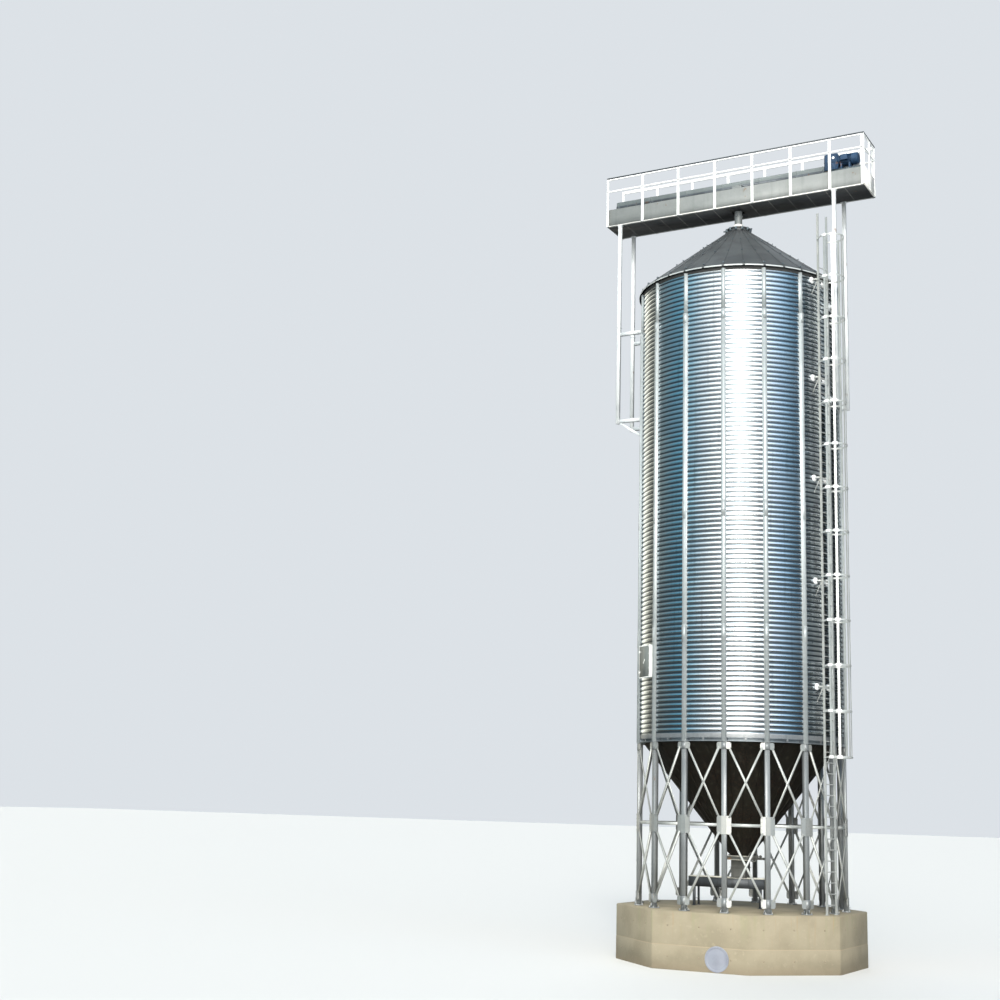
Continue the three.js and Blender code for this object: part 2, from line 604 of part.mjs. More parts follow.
// Filling conveyor: a covered trough on feet along the rear of the floor, with a lower box under
// its drive. The lid's flange stands out along both sides.
const CONVEYOR_FRONT = 150;
const CONVEYOR_BACK = 500;
const CONVEYOR_BOTTOM = GALLERY_Z + 620;
const CONVEYOR_TOP = GALLERY_Z + 1150;
const LID_FLANGE_Z = GALLERY_Z + 940;
const HEAD_LEFT = 2760;
const HEAD_RIGHT = 3990;
const HEAD_TOP = GALLERY_Z + 920;
const FLOOR_TOP = DECK_Z + DECK_THICKNESS + FIT;
{
  const box = (x0, x1, grow, z0, z1) =>
    block(x0, CONVEYOR_FRONT - grow, z0, x1, CONVEYOR_BACK + grow, z1);
  const parts = [
    box(GALLERY_LEFT, HEAD_LEFT, 0, CONVEYOR_BOTTOM, CONVEYOR_TOP),
    box(GALLERY_LEFT, HEAD_LEFT, 25, LID_FLANGE_Z, LID_FLANGE_Z + 20),
    box(HEAD_LEFT - 5, HEAD_RIGHT, 20, CONVEYOR_BOTTOM - 60, HEAD_TOP),
  ];
  for (const x of [...railPosts.slice(2), HEAD_LEFT + 200, HEAD_RIGHT - 150]) {
    parts.push(box(x - 60, x + 20, -20, FLOOR_TOP, CONVEYOR_BOTTOM + 5));
  }
  piece("conveyor_trough", shell(join(parts)), WHITE_STEEL);
}

// Conveyor drive: a bed plate, an upright gear case and a motor lying along the conveyor.
const MOTOR_RADIUS = 190;
const MOTOR_LENGTH = 640;
const GEAR_CASE_HEIGHT = 600;
const BED_HEIGHT = 60;
{
  const seat = HEAD_TOP + FIT;
  const middle = (CONVEYOR_FRONT + CONVEYOR_BACK) / 2;
  const left = HEAD_LEFT + 20;
  const motor = disc(MOTOR_RADIUS, MOTOR_LENGTH, 20).rotateY(Math.PI / 2);
  const drive = join([
    motor.translate(HEAD_LEFT + 760, middle, seat + 2 * MOTOR_RADIUS),
    block(left, middle - 190, seat, left + 440, middle + 190, seat + GEAR_CASE_HEIGHT),
    block(left, middle - 160, seat, HEAD_RIGHT - 60, middle + 160, seat + BED_HEIGHT),
    block(HEAD_LEFT + 500, middle - 120, seat + 50, HEAD_LEFT + 980, middle + 120, seat + 240),
  ]);
  piece("conveyor_drive", shell(drive), MACHINE_PAINT);
}

// Drop pipe: a chute box on the trough's front and a round pipe through the floor to the roof cap.
// The box stands on a thin plate that covers the hole in the floor.
const DROP_RADIUS = 120;
const DROP_WALL = 6;
const CHUTE_HALF = 160;
const PIPE_FLANGE = 45;
{
  const low = CAP_TOP + FIT;
  const high = FLOOR_TOP + 60;
  const back = CONVEYOR_FRONT - FIT;
  const top = CONVEYOR_BOTTOM + 250;
  const pipe = (radius, z0, z1) => disc(radius, z1 - z0, 16).translate(0, 0, (z0 + z1) / 2);
  const box = (wall) =>
    block(-CHUTE_HALF + wall, -CHUTE_HALF + wall, high - 40 + wall, CHUTE_HALF - wall,
      back - wall, top - wall);
  const outside = join([
    pipe(DROP_RADIUS, low, high),
    pipe(DROP_RADIUS + PIPE_FLANGE, low, low + 15),
    box(0),
    block(-HOLE_HALF - 10, HOLE_Y - HOLE_HALF - 20, FLOOR_TOP, HOLE_HALF + 10,
      HOLE_Y + HOLE_HALF + 10, FLOOR_TOP + 4),
  ]);
  const inside = join([pipe(DROP_RADIUS - DROP_WALL, low - 50, high), box(DROP_WALL)]);
  piece("drop_pipe", shell(outside.subtract(inside)), WHITE_STEEL);
}

// Gallery posts: square tubes from the wall's stiffeners up to the beams, two at each end. The left
// pair stands further out, so its lower arms have a sloping prop.
const POST_SIZE = 110;
const POST_FOOT = GALLERY_Z - POST_LENGTH;
const POST_Y = GALLERY_HALF_WIDTH - POST_SIZE / 2;
const ARM_LEVELS = [POST_FOOT + 20, POST_FOOT + 2930];
const ARM_HEIGHT = 110;
const PROP_DROP = 580; // from the lower arm down to the prop's foot on the wall
for (const [end, x] of [["right", POST_X_RIGHT], ["left", POST_X_LEFT]]) {
  for (const [row, sideY] of [["front", -1], ["rear", 1]]) {
    const sideX = Math.sign(x);
    const y = sideY * POST_Y;
    const half = POST_SIZE / 2;
    const top = GALLERY_Z - FIT;
    // The arms reach in past the stiffener beside the row's axis and are cut to its face.
    const inner = sideX * (WALL_RADIUS - 60);
    const arm = (z) =>
      block(Math.min(x, inner), y - 45, z, Math.max(x, inner), y + 45, z + ARM_HEIGHT);
    const parts = [
      block(x - half, y - half, POST_FOOT, x + half, y + half, top),
      block(x - 90, y - half, top - 25, x + 90, y + half, top),
      ...ARM_LEVELS.map(arm),
    ];
    if (end === "left") {
      const from = new THREE.Vector3(inner, y, ARM_LEVELS[0] - PROP_DROP);
      const to = new THREE.Vector3(x, y, POST_FOOT + 75);
      parts.push(bar(from, to, 70, 60, new THREE.Vector3(0, 1, 0)));
    }
    const angle = sideX * (Math.PI / 2 + sideY * FIRST_COLUMN);
    const post = join(parts).subtract(wallSpace()).subtract(stiffenerSpace(angle));
    piece("gallery_post_" + end + "_" + row, shell(post), WHITE_STEEL);
  }
}

export default silo;
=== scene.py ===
import bpy
import numpy as np
from mathutils import Matrix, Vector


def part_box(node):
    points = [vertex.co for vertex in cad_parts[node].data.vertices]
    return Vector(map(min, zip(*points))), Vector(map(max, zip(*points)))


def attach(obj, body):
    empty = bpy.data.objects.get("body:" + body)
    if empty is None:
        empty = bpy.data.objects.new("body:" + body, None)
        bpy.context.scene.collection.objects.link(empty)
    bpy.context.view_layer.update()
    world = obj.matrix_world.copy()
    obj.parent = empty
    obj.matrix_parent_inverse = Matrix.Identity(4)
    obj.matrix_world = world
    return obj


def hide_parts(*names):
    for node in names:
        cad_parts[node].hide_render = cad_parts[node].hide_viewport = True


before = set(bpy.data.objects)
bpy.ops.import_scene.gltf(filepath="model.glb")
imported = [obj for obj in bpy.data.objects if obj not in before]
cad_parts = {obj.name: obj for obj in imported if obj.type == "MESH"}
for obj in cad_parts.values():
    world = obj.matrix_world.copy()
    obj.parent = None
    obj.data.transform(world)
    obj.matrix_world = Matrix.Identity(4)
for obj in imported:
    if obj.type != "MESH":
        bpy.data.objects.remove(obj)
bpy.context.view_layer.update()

# The photograph's view: the camera stands 47 m away, a little above the plinth, and looks up at
# the silo from the right of the row's normal.
VIEW_POSITION = (15.807, -44.175, 4.216)
VIEW_YAW, VIEW_PITCH, VIEW_ROLL = 0.5017, 0.1984, 0.028
VIEW_FOCAL = 1532.48  # in pixels of a 1000 pixel wide picture
VIEW_SENSOR = 36.0
UP = np.array([0.0, 0.0, 1.0])
FRONT = np.array([0.0, -1.0, 0.0])


def placed(name, data, axes, position):
    """Puts an object in the scene at a position, its axes in the three directions given."""
    matrix = np.eye(4)
    matrix[:3] = np.column_stack([*axes, position])
    made = bpy.data.objects.new(name, data)
    made.matrix_world = Matrix(matrix.tolist())
    bpy.context.scene.collection.objects.link(made)
    return made


level = np.array([np.cos(VIEW_YAW), np.sin(VIEW_YAW), 0.0])
forward = np.cross(UP, level) * np.cos(VIEW_PITCH) + UP * np.sin(VIEW_PITCH)
upwards = np.cross(level, forward)
camera_right = level * np.cos(VIEW_ROLL) + upwards * np.sin(VIEW_ROLL)
camera_up = upwards * np.cos(VIEW_ROLL) - level * np.sin(VIEW_ROLL)
lens = bpy.data.cameras.new("camera")
lens.sensor_width = VIEW_SENSOR
lens.lens = VIEW_FOCAL * VIEW_SENSOR / 1000.0
lens.clip_end = 1000.0
bpy.context.scene.camera = placed("camera", lens, (camera_right, camera_up, -forward), VIEW_POSITION)


# Daylight studio: a plain pale floor, a strong soft key light over the camera's right shoulder and
# a surround that changes round the horizon, because bare metal shows whatever stands round it.
class Signal:
    """One output socket of a node. Arithmetic on it adds the Math nodes that work it out."""

    def __init__(self, tree, socket):
        self.tree = tree
        self.socket = socket

    def math(self, operation, *values):
        return node(self.tree, "Math", {"operation": operation}, self, *values)

    def __add__(self, other):
        return self.math("ADD", other)

    def __sub__(self, other):
        return self.math("SUBTRACT", other)

    def __rsub__(self, other):
        return self.math("MULTIPLY_ADD", -1.0, other)

    def __mul__(self, other):
        return self.math("MULTIPLY", other)

    def __truediv__(self, other):
        return self.math("DIVIDE", other)

    def __pow__(self, other):
        return self.math("POWER", other)

    __radd__ = __add__
    __rmul__ = __mul__


def node(tree, kind, settings=None, *values, out=0, **named):
    """Adds one shader node: its settings first, then the values or links of its sockets, by
    their numbers or by their names."""
    made = tree.nodes.new("ShaderNode" + kind)
    for key, value in (settings or {}).items():
        if key == "stops":
            elements = made.color_ramp.elements
            while len(elements) < len(value):
                elements.new(0.5)
            for element, (place, colour) in zip(elements, value):
                element.position = place
                element.color = (*colour, 1.0)
        else:
            setattr(made, key, value)
    for key, value in list(enumerate(values)) + list(named.items()):
        target = made.inputs[key.replace("_", " ") if isinstance(key, str) else key]
        if isinstance(value, Signal):
            tree.links.new(value.socket, target)
        else:
            target.default_value = value
    return Signal(tree, made.outputs[out])


def mixed(tree, first, second, share):
    """The first colour where share is 0 and the second where it is 1."""
    made = tree.nodes.new("ShaderNodeMix")
    made.data_type = "RGBA"
    for k, value in ((0, share), (6, first), (7, second)):
        if isinstance(value, Signal):
            tree.links.new(value.socket, made.inputs[k])
        else:
            made.inputs[k].default_value = (*value, 1.0) if np.ndim(value) else value
    return Signal(tree, made.outputs[2])


def stepped(tree, value, low, high, top=1.0):
    """0 below low, top above high and a smooth step between them."""
    return node(tree, "MapRange", {"interpolation_type": "SMOOTHSTEP"}, value, low, high, 0.0, top)


# Colours round the horizon, by degrees from the silo's front towards its right.
SURROUND = [(-180, (0.13, 0.15, 0.16)), (-140, (0.24, 0.24, 0.21)), (-124, (2.5, 2.4, 2.0)),
            (-106, (0.06, 0.06, 0.04)), (-92, (0.20, 0.20, 0.17)), (-78, (0.20, 0.27, 0.28)),
            (-60, (0.080, 0.250, 0.350)), (-46, (0.115, 0.370, 0.500)), (-34, (0.38, 0.68, 0.80)),
            (-24, (0.92, 1.02, 1.05)), (-10, (1.45, 1.50, 1.48)), (5, (2.2, 2.2, 2.1)),
            (15, (12.0, 11.6, 10.8)), (26, (11.5, 11.0, 10.1)), (36, (2.2, 2.2, 2.15)),
            (46, (1.65, 1.65, 1.66)), (56, (1.15, 1.36, 1.58)), (72, (0.44, 0.74, 0.98)),
            (87, (0.030, 0.120, 0.200)), (101, (0.035, 0.055, 0.055)), (114, (0.006, 0.009, 0.007)),
            (150, (0.010, 0.011, 0.011)), (180, (0.13, 0.15, 0.16))]
SKY_HIGH = (0.10, 0.20, 0.33)
GROUND = (0.045, 0.040, 0.030)
BACKDROP = (0.72, 0.76, 0.80)

world = bpy.data.worlds.new("daylight")
world.use_nodes = True
tree = world.node_tree
tree.nodes.clear()
direction = node(tree, "TexCoord", out="Generated")
east, north, height = (node(tree, "SeparateXYZ", None, direction, out=axis) for axis in "XYZ")
bearing = east.math("ARCTAN2", north * -1.0) / (2 * np.pi) + 0.5
horizon = node(tree, "ValToRGB", {"stops": [(a / 360 + 0.5, c) for a, c in SURROUND]}, bearing)
sky = mixed(tree, horizon, SKY_HIGH, stepped(tree, height, 0.35, 0.85, 0.65))
sky = mixed(tree, sky, GROUND, stepped(tree, height, -0.06, -0.28))
seen = node(tree, "LightPath", out="Is Camera Ray")
background = node(tree, "Background", None, mixed(tree, sky, BACKDROP, seen), 1.0)
tree.links.new(background.socket, tree.nodes.new("ShaderNodeOutputWorld").inputs[0])
bpy.context.scene.world = world
bpy.context.scene.view_settings.view_transform = "Standard"


def radial(angle):
    """The level direction away from the silo's axis at an angle, or at each of several. Angles
    count from the front towards the right."""
    angle = np.asarray(angle, float)
    return np.stack([np.sin(angle), -np.cos(angle), np.zeros_like(angle)], -1)


def soft_sun(name, azimuth, elevation, spread, strength, colour):
    """A distant light with soft edges. The azimuth counts from the silo's front to its right."""
    azimuth, elevation = np.radians(azimuth), np.radians(elevation)
    back = radial(azimuth) * np.cos(elevation) + UP * np.sin(elevation)
    side = np.cross(UP, back) / np.cos(elevation)
    light = bpy.data.lights.new(name, "SUN")
    light.angle = np.radians(spread)
    light.energy = strength
    light.color = colour
    placed(name, light, (side, np.cross(back, side), back), back * 80.0)


soft_sun("key_light", 22.0, 38.0, 10.0, 1.9, (1.0, 0.97, 0.92))
soft_sun("back_light", 205.0, 40.0, 30.0, 0.6, (0.86, 0.92, 1.0))


class Finish:
    """A material in the making. Textures read Object coordinates, in metres."""

    def __init__(self, name, metallic=0.0, **constant):
        self.material = bpy.data.materials.new(name)
        self.material.use_nodes = True
        self.tree = self.material.node_tree
        self.shader = self.tree.nodes["Principled BSDF"]
        self.shader.inputs["Metallic"].default_value = metallic
        for key, value in constant.items():
            self.shader.inputs[key.replace("_", " ")].default_value = value

    def node(self, kind, settings=None, *values, **named):
        return node(self.tree, kind, settings, *values, **named)

    def place(self, part=None):
        """Object coordinates, or one of them as a number."""
        point = self.node("TexCoord", out="Object")
        return point if part is None else self.node("SeparateXYZ", None, point, out=part)

    def noise(self, scale, detail=3.0, stretch=(1.0, 1.0, 1.0)):
        """Cloudy noise. stretch above 1 makes it finer along that axis."""
        point = self.node("Mapping", None, self.place(), Scale=stretch)
        return self.node("TexNoise", None, Vector=point, Scale=scale, Detail=detail, Roughness=0.55)

    def ramp(self, value, low, high):
        return stepped(self.tree, value, low, high)

    def blend(self, first, second, share):
        return mixed(self.tree, first, second, share)

    def feed(self, **signals):
        """Links what changes over the surface to the shader."""
        for key, value in signals.items():
            self.tree.links.new(value.socket, self.shader.inputs[key.replace("_", " ")])

    def bump(self, height, distance, strength=1.0):
        self.feed(Normal=self.node("Bump", None, Height=height, Distance=distance, Strength=strength))


FLOOR_HALF = 400.0
floor_mesh = bpy.data.meshes.new("floor")
floor_corners = np.array([(-1, -1, 0), (1, -1, 0), (1, 1, 0), (-1, 1, 0)]) * FLOOR_HALF
floor_mesh.from_pydata(floor_corners.tolist(), [], [(0, 1, 2, 3)])
floor_finish = Finish("pale floor", Base_Color=(0.72, 0.72, 0.71, 1.0), Roughness=0.9)
floor_mesh.materials.append(floor_finish.material)
floor = placed("floor", floor_mesh, np.eye(3), (0, 0, 0))
floor.visible_glossy = False  # the metal mirrors the dark yard of the surround instead

# Plinth: an octagonal block of cast concrete, poured in two lifts against plain boards. Its arrises
# are rounded, tie holes are left by the boards, and rain has washed rust and algae down its faces.
PLINTH_TOP, PLINTH_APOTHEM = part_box("plinth")[1].z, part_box("plinth")[1].x
POUR_Z = 0.66
ARRIS = 0.02
CORNER_FLAT = 0.04
TIE_LEVELS = (0.36, 1.18)
TIE_PLACES = (-0.92, 0.0, 0.92)


def grid_faces(rows, columns, wrap_rows=False, wrap_columns=False):
    """Quads over a grid of rows by columns of points, stored row by row."""
    i = np.arange(rows if wrap_rows else rows - 1)[:, None]
    j = np.arange(columns if wrap_columns else columns - 1)[None, :]
    ni, nj = (i + 1) % rows, (j + 1) % columns
    quads = np.stack(np.broadcast_arrays(i * columns + j, ni * columns + j,
                                         ni * columns + nj, i * columns + nj), -1)
    return quads.reshape(-1, 4)


def skin(rings, closed=False):
    """A part over rings of points, each joined to the next: its points and its faces. A flat face
    shuts it at each end, or the last ring joins the first where it is closed. The faces are turned
    round if the sum of their volumes to the origin is negative, so that they look outwards."""
    rings = np.asarray(rings, float)
    rows, count = rings.shape[:2]
    points, faces = rings.reshape(-1, 3), [grid_faces(rows, count, closed, True)]
    if not closed:
        faces.append(np.array([np.arange(count), np.arange(count)[::-1] + (rows - 1) * count]))
    volume = 0.0
    for array in faces:
        a, rest = points[array[:, 0]], array[:, 1:]
        for k in range(rest.shape[1] - 1):
            b, c = points[rest[:, k]], points[rest[:, k + 1]]
            volume += np.einsum("ij,ij->i", a, np.cross(b, c)).sum()
    return points, [f[:, ::-1] for f in faces] if volume < 0 else faces


def gather(parts):
    """Joins parts into one: their points end to end, their faces by number of corners."""
    points, by_size, start = [], {}, 0
    for part_points, part_faces in parts:
        for array in part_faces:
            by_size.setdefault(array.shape[1], []).append(array + start)
        points.append(part_points)
        start += len(part_points)
    return np.concatenate(points), [np.concatenate(v) for v in by_size.values()]


def turned(part, angle):
    """A part drawn at the front of the silo, turned round the axis towards the right."""
    points, faces = part
    c, s = np.cos(angle), np.sin(angle)
    return points @ np.array([[c, s, 0], [-s, c, 0], [0, 0, 1]]), faces


def round_axis(parts, angles):
    """Copies of parts drawn at the front, one at each angle."""
    part = gather(parts)
    return gather([turned(part, a) for a in angles])


def put(name, parts, finish, slot, replaced=None, smooth=None, angle=0.0, at=(0.0, 0.0, 0.0)):
    """Joins parts in a mesh that rides on the silo, moved to a place and then turned round the
    axis. It stands for one solid of the silo or for none. smooth is the largest angle between
    faces, in degrees, that stays soft."""
    points, faces = gather(parts)
    points, arrays = turned((points + at, faces), angle)
    sizes = np.concatenate([np.full(len(a), a.shape[1], np.int32) for a in arrays])
    corners = np.concatenate([a.ravel() for a in arrays]).astype(np.int32)
    mesh = bpy.data.meshes.new(name)
    mesh.vertices.add(len(points))
    mesh.vertices.foreach_set("co", points.astype(np.float32).ravel())
    mesh.loops.add(len(corners))
    mesh.loops.foreach_set("vertex_index", corners)
    mesh.polygons.add(len(sizes))
    mesh.polygons.foreach_set("loop_start", (np.cumsum(sizes) - sizes).astype(np.int32))
    mesh.update(calc_edges=True)
    mesh.validate()
    if smooth is not None:
        mesh.polygons.foreach_set("use_smooth", np.ones(len(sizes), bool))
        mesh.set_sharp_from_angle(angle=np.radians(smooth))
    mesh.materials.append(finish.material)
    made = placed(name, mesh, np.eye(3), (0, 0, 0))
    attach(made, "root")
    if replaced:
        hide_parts(replaced)


def grid_points(xs, ys, zs):
    """Every combination of the given places."""
    return np.stack(np.meshgrid(xs, ys, zs, indexing="ij"), -1).reshape(-1, 3)


def bolts(centres, axes, radius, height, sides=6):
    """Many bolt heads at once: one ring of points at each head's foot and one at its top."""
    centres = np.atleast_2d(centres)
    axes = np.broadcast_to(np.atleast_2d(axes).astype(float), centres.shape)
    seed = np.where(np.abs(axes[:, 2:3]) < 0.9, [[0, 0, 1.0]], [[1.0, 0, 0]])
    u = np.cross(seed, axes)
    u /= np.linalg.norm(u, axis=1, keepdims=True)
    v = np.cross(axes, u)
    a = np.arange(sides) * 2 * np.pi / sides
    ring = radius * (np.cos(a)[:, None] * u[:, None] + np.sin(a)[:, None] * v[:, None])
    foot = centres[:, None] + ring
    points = np.stack([foot, foot + axes[:, None] * height], 1)
    first = np.arange(len(centres))[:, None] * 2 * sides
    flanks = first[:, None] + grid_faces(2, sides, wrap_columns=True)[:, ::-1]
    ends = [first + sides + np.arange(sides), first + np.arange(sides)[::-1]]
    return points.reshape(-1, 3), [flanks.reshape(-1, 4), np.concatenate(ends)]


def concrete():
    """Warm grey-buff concrete with a pour line, streaks from the top edge and darker feet."""
    f = Finish("cast concrete")
    z = f.place("Z")
    cloud, mottle = f.noise(1.1, 4.0), f.noise(9.0, 5.0)
    streak, fine_streak = f.noise(2.3, 3.0, (2.2, 2.2, 0.16)), f.noise(6.0, 2.0, (2.2, 2.2, 0.10))
    top_wash = f.ramp(z, 0.25, PLINTH_TOP) ** 1.5
    pour = 1.0 - f.ramp((z + cloud * 0.04 - (POUR_Z + 0.02)).math("ABSOLUTE"), 0.004, 0.02)
    foot = 1.0 - f.ramp(z + mottle * 0.2, 0.08, 0.42)
    colour = f.blend((0.290, 0.252, 0.178), (0.235, 0.203, 0.140), f.ramp(cloud, 0.38, 0.68))
    for tone, share in (((0.33, 0.29, 0.21), f.ramp(mottle, 0.55, 0.75) * 0.6),
                        ((0.23, 0.23, 0.13), f.ramp(streak, 0.50, 0.70) * top_wash * 0.45),
                        ((0.30, 0.20, 0.10), f.ramp(fine_streak, 0.60, 0.74) * top_wash * 0.45),
                        ((0.34, 0.28, 0.19), pour * 0.6), ((0.36, 0.30, 0.21), foot * 0.7)):
        colour = f.blend(colour, tone, share)
    f.feed(Base_Color=colour, Roughness=mottle * 0.2 + 0.78)
    f.bump(mottle * 0.6 + f.noise(40.0, 3.0) * 0.4, 0.006)
    return f


def octagon_ring(apothem, z):
    """The octagon's outline at one level, each corner cut off by a short flat."""
    turn = CORNER_FLAT * np.cos(np.pi / 8) / apothem
    a = np.repeat(np.arange(8) * np.pi / 4 + np.pi / 8, 2) + np.tile([-turn, turn], 8)
    radius = apothem / np.cos((a + np.pi / 8) % (np.pi / 4) - np.pi / 8)
    return radius[:, None] * radial(a) + UP * z


plinth = skin([octagon_ring(PLINTH_APOTHEM - inset, z) for inset, z in (
    (0.0, 0.0), (0.0, POUR_Z - 0.015), (0.008, POUR_Z), (0.004, POUR_Z + 0.015),
    (0.004, PLINTH_TOP - ARRIS), (ARRIS, PLINTH_TOP))])
put("plinth_block", [plinth], concrete(), "concrete", "plinth")
tie_finish = Finish("tie hole plugs", Roughness=0.95)
tie_finish.feed(Base_Color=tie_finish.blend((0.20, 0.16, 0.11), (0.32, 0.27, 0.19), tie_finish.noise(20.0)))
ties = bolts(grid_points(TIE_PLACES, (0.006 - PLINTH_APOTHEM,), TIE_LEVELS), FRONT, 0.026, 0.007, 12)
put("plinth_ties", [round_axis([ties], np.arange(8) * np.pi / 4)], tie_finish, "concrete")

# Duct cover: a round plate of painted steel over the duct's mouth in the plinth. It has a pressed
# rim and a dished middle, and a ring of bolts holds it.
DUCT_LOW, DUCT_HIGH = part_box("duct_cover")
DUCT_CENTRE = np.array([(DUCT_LOW.x + DUCT_HIGH.x) / 2, DUCT_HIGH.y, (DUCT_LOW.z + DUCT_HIGH.z) / 2])
DUCT_RADIUS = (DUCT_HIGH.x - DUCT_LOW.x) / 2


def spin(profile, sides, origin=(0.0, 0.0, 0.0), axis=(0.0, 0.0, 1.0), closed=False):
    """Turns a profile of (radius, height) points round an axis through the origin. An open
    profile is shut by a flat face at each end, and a closed one makes a ring."""
    axis = np.asarray(axis, float)
    seed = np.array([0, 0, 1.0]) if abs(axis[2]) < 0.9 else np.array([1.0, 0, 0])
    u = np.cross(seed, axis)
    u /= np.linalg.norm(u)
    a = np.arange(sides)[:, None] * 2 * np.pi / sides
    around = np.cos(a) * u + np.sin(a) * np.cross(axis, u)
    profile = np.asarray(profile, float)
    return skin(profile[:, :1, None] * around + profile[:, 1:, None] * axis + np.asarray(origin), closed)


def steel(name, light, dark, metallic, roughness, rust=0.0, streaks=0.4, spangle=0.0):
    """Weathered steel: light and dark tones in clouds and in streaks down its faces, a fine
    crystal pattern where it is galvanised, and rust in patches that grow with rust."""
    f = Finish(name, metallic)
    cloud, fine, run = f.noise(1.7, 4.0), f.noise(28.0, 3.0), f.noise(5.0, 3.0, (1.6, 1.6, 0.10))
    colour = f.blend(light, dark, f.ramp(cloud, 0.40, 0.72) * 0.7)
    colour = f.blend(colour, dark, f.ramp(run, 0.52, 0.72) * streaks)
    if spangle > 0:
        crystal = f.node("TexVoronoi", {"feature": "F1"}, Vector=f.place(), Scale=55.0, out=1)
        tone = f.node("SeparateXYZ", None, crystal, out="X")
        colour = f.blend(colour, tuple(0.55 * c for c in dark), tone * spangle)
    if rust > 0:
        patch = f.ramp(f.noise(3.2, 6.0) + fine * 0.16, 0.80 - 0.22 * rust, 0.86 - 0.16 * rust)
        colour = f.blend(colour, (0.16, 0.075, 0.03), patch * 0.85)
        f.feed(Metallic=(1.0 - patch) * metallic)
    f.feed(Base_Color=colour, Roughness=cloud * 0.12 + fine * 0.10 + (roughness - 0.11))
    f.bump(fine, 0.0015, 0.5)
    return f


DUCT_PAINT = steel("duct cover paint", (0.27, 0.29, 0.34), (0.19, 0.20, 0.24), 0.1, 0.5, 0.3)
plate = [(DUCT_RADIUS - inset, depth) for inset, depth in (
    (0, 0), (0, 0.020), (0.006, 0.026), (0.050, 0.026), (0.062, 0.014), (0.16, 0.014), (0.19, 0.020))]
turn = np.arange(12) * np.pi / 6
rim = np.column_stack([np.sin(turn), np.zeros(12), np.cos(turn)]) * (DUCT_RADIUS - 0.028)
put("duct_cover_plate", [spin(plate, 48, DUCT_CENTRE, FRONT),
                         bolts(DUCT_CENTRE + rim + FRONT * 0.026, FRONT, 0.011, 0.009)],
    DUCT_PAINT, "machine_paint", "duct_cover", smooth=35)

# Legs: sixteen posts of folded channel, open at the back, on base plates held by four anchor bolts
# each. A cap plate on each leg carries the ring under the wall.
COLUMN_STEP = np.pi / 8
COLUMN_ANGLES = (np.arange(16) + 0.5) * COLUMN_STEP
COLUMN_FACE = 3.130  # the outer face of the stiffeners over the legs
LEG_FACE, LEG_BACK, LEG_HALF = 3.090, 2.970, 0.070
BASE_HALF, BASE_LIP, BASE_PLATE, CAP_PLATE = 0.120, 0.060, 0.025, 0.012
WALL_BOTTOM, EAVE = (corner.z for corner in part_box("wall_right_front"))
RING_LOW, RING_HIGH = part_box("ring_girder")
RING_BOTTOM = RING_LOW.z
FIT = 0.0003  # the gap between a piece and what it stands on
SIDES = (-1, 1)


def bar(start, end, out, outline):
    """Carries a closed outline of (across, outwards) points along a straight line. out is about
    the way that outwards looks."""
    start, end = np.array(start, float), np.array(end, float)
    along = (end - start) / np.linalg.norm(end - start)
    out = np.array(out, float) - along * np.dot(out, along)
    out /= np.linalg.norm(out)
    outline = np.asarray(outline, float)
    section = outline[:, :1] * np.cross(out, along) + outline[:, 1:] * out
    return skin([section + start, section + end])


def rectangle(half, low, high, cut=0.0):
    """The outline of a rectangle, half to each side and from low to high, its corners cut off."""
    if cut <= 0:
        return np.array([(-half, low), (half, low), (half, high), (-half, high)])
    return np.array([(cut - half, low), (half - cut, low), (half, low + cut), (half, high - cut),
                     (half - cut, high), (cut - half, high), (-half, high - cut), (-half, low + cut)])


def at_level(outline, z):
    """The outline in plan, raised to one level."""
    return np.column_stack([outline, np.full(len(outline), z)])


def block(x, y, z, soft=0.0):
    """A box between pairs of places. soft cuts its four edges along z back by that much."""
    half = (x[1] - x[0]) / 2
    outline = rectangle(half, *y, min(soft, 0.9 * half, 0.45 * (y[1] - y[0]))) + ((x[0] + x[1]) / 2, 0)
    return skin([at_level(outline, level) for level in z])


def span(middle, half):
    """The pair of places that lie half to each side of the middle."""
    return middle - half, middle + half


def beside(side, near, far):
    """The pair of places on one side of the silo, between two distances from its middle."""
    return sorted((side * near, side * far))


def channel(half, depth, wall, lip, cut=0.006):
    """The outline of a folded channel: its face is at depth, and it is open towards 0."""
    one_side = np.array([(half - lip, wall), (half - wall, wall), (half - wall, depth - wall)])
    outer = np.array([(half - lip, 0), (half, 0), (half, depth - cut), (half - cut, depth)])
    return np.concatenate([outer * (-1, 1), outer[::-1], one_side, one_side[::-1] * (-1, 1)])


def upright(x, y, low, high, outline):
    """A bar that stands at (x, y), its outline's second axis towards the front."""
    return bar((x, y, low), (x, y, high), FRONT, outline)


def bolt_grid(xs, ys, zs, way, radius, height, sides=6):
    """Bolt heads at every combination of the given places."""
    return bolts(grid_points(xs, ys, zs), way, radius, height, sides)


LEG_STEEL = steel("leg steel", (0.245, 0.262, 0.268), (0.185, 0.198, 0.206), 0.25, 0.40, 0.08, 0.4, 0.15)
BOLT_STEEL = steel("bolt zinc", (0.50, 0.51, 0.50), (0.34, 0.34, 0.33), 0.4, 0.45, 0.25)
foot = PLINTH_TOP + FIT
seat = foot + BASE_PLATE
leg_top = RING_BOTTOM - CAP_PLATE
leg = [
    upright(0, -LEG_BACK, seat, leg_top, channel(LEG_HALF, LEG_FACE - LEG_BACK, 0.007, 0.030)),
    block(span(0, BASE_HALF), (-LEG_FACE - BASE_LIP, -LEG_BACK + BASE_LIP), (foot, seat), 0.02),
    block(span(0, 0.085), (-LEG_FACE, -LEG_BACK), (leg_top, RING_BOTTOM - FIT)),
    block(span(0, 0.004), (-LEG_FACE - 0.055, -LEG_FACE), (seat, seat + 0.12)),
]
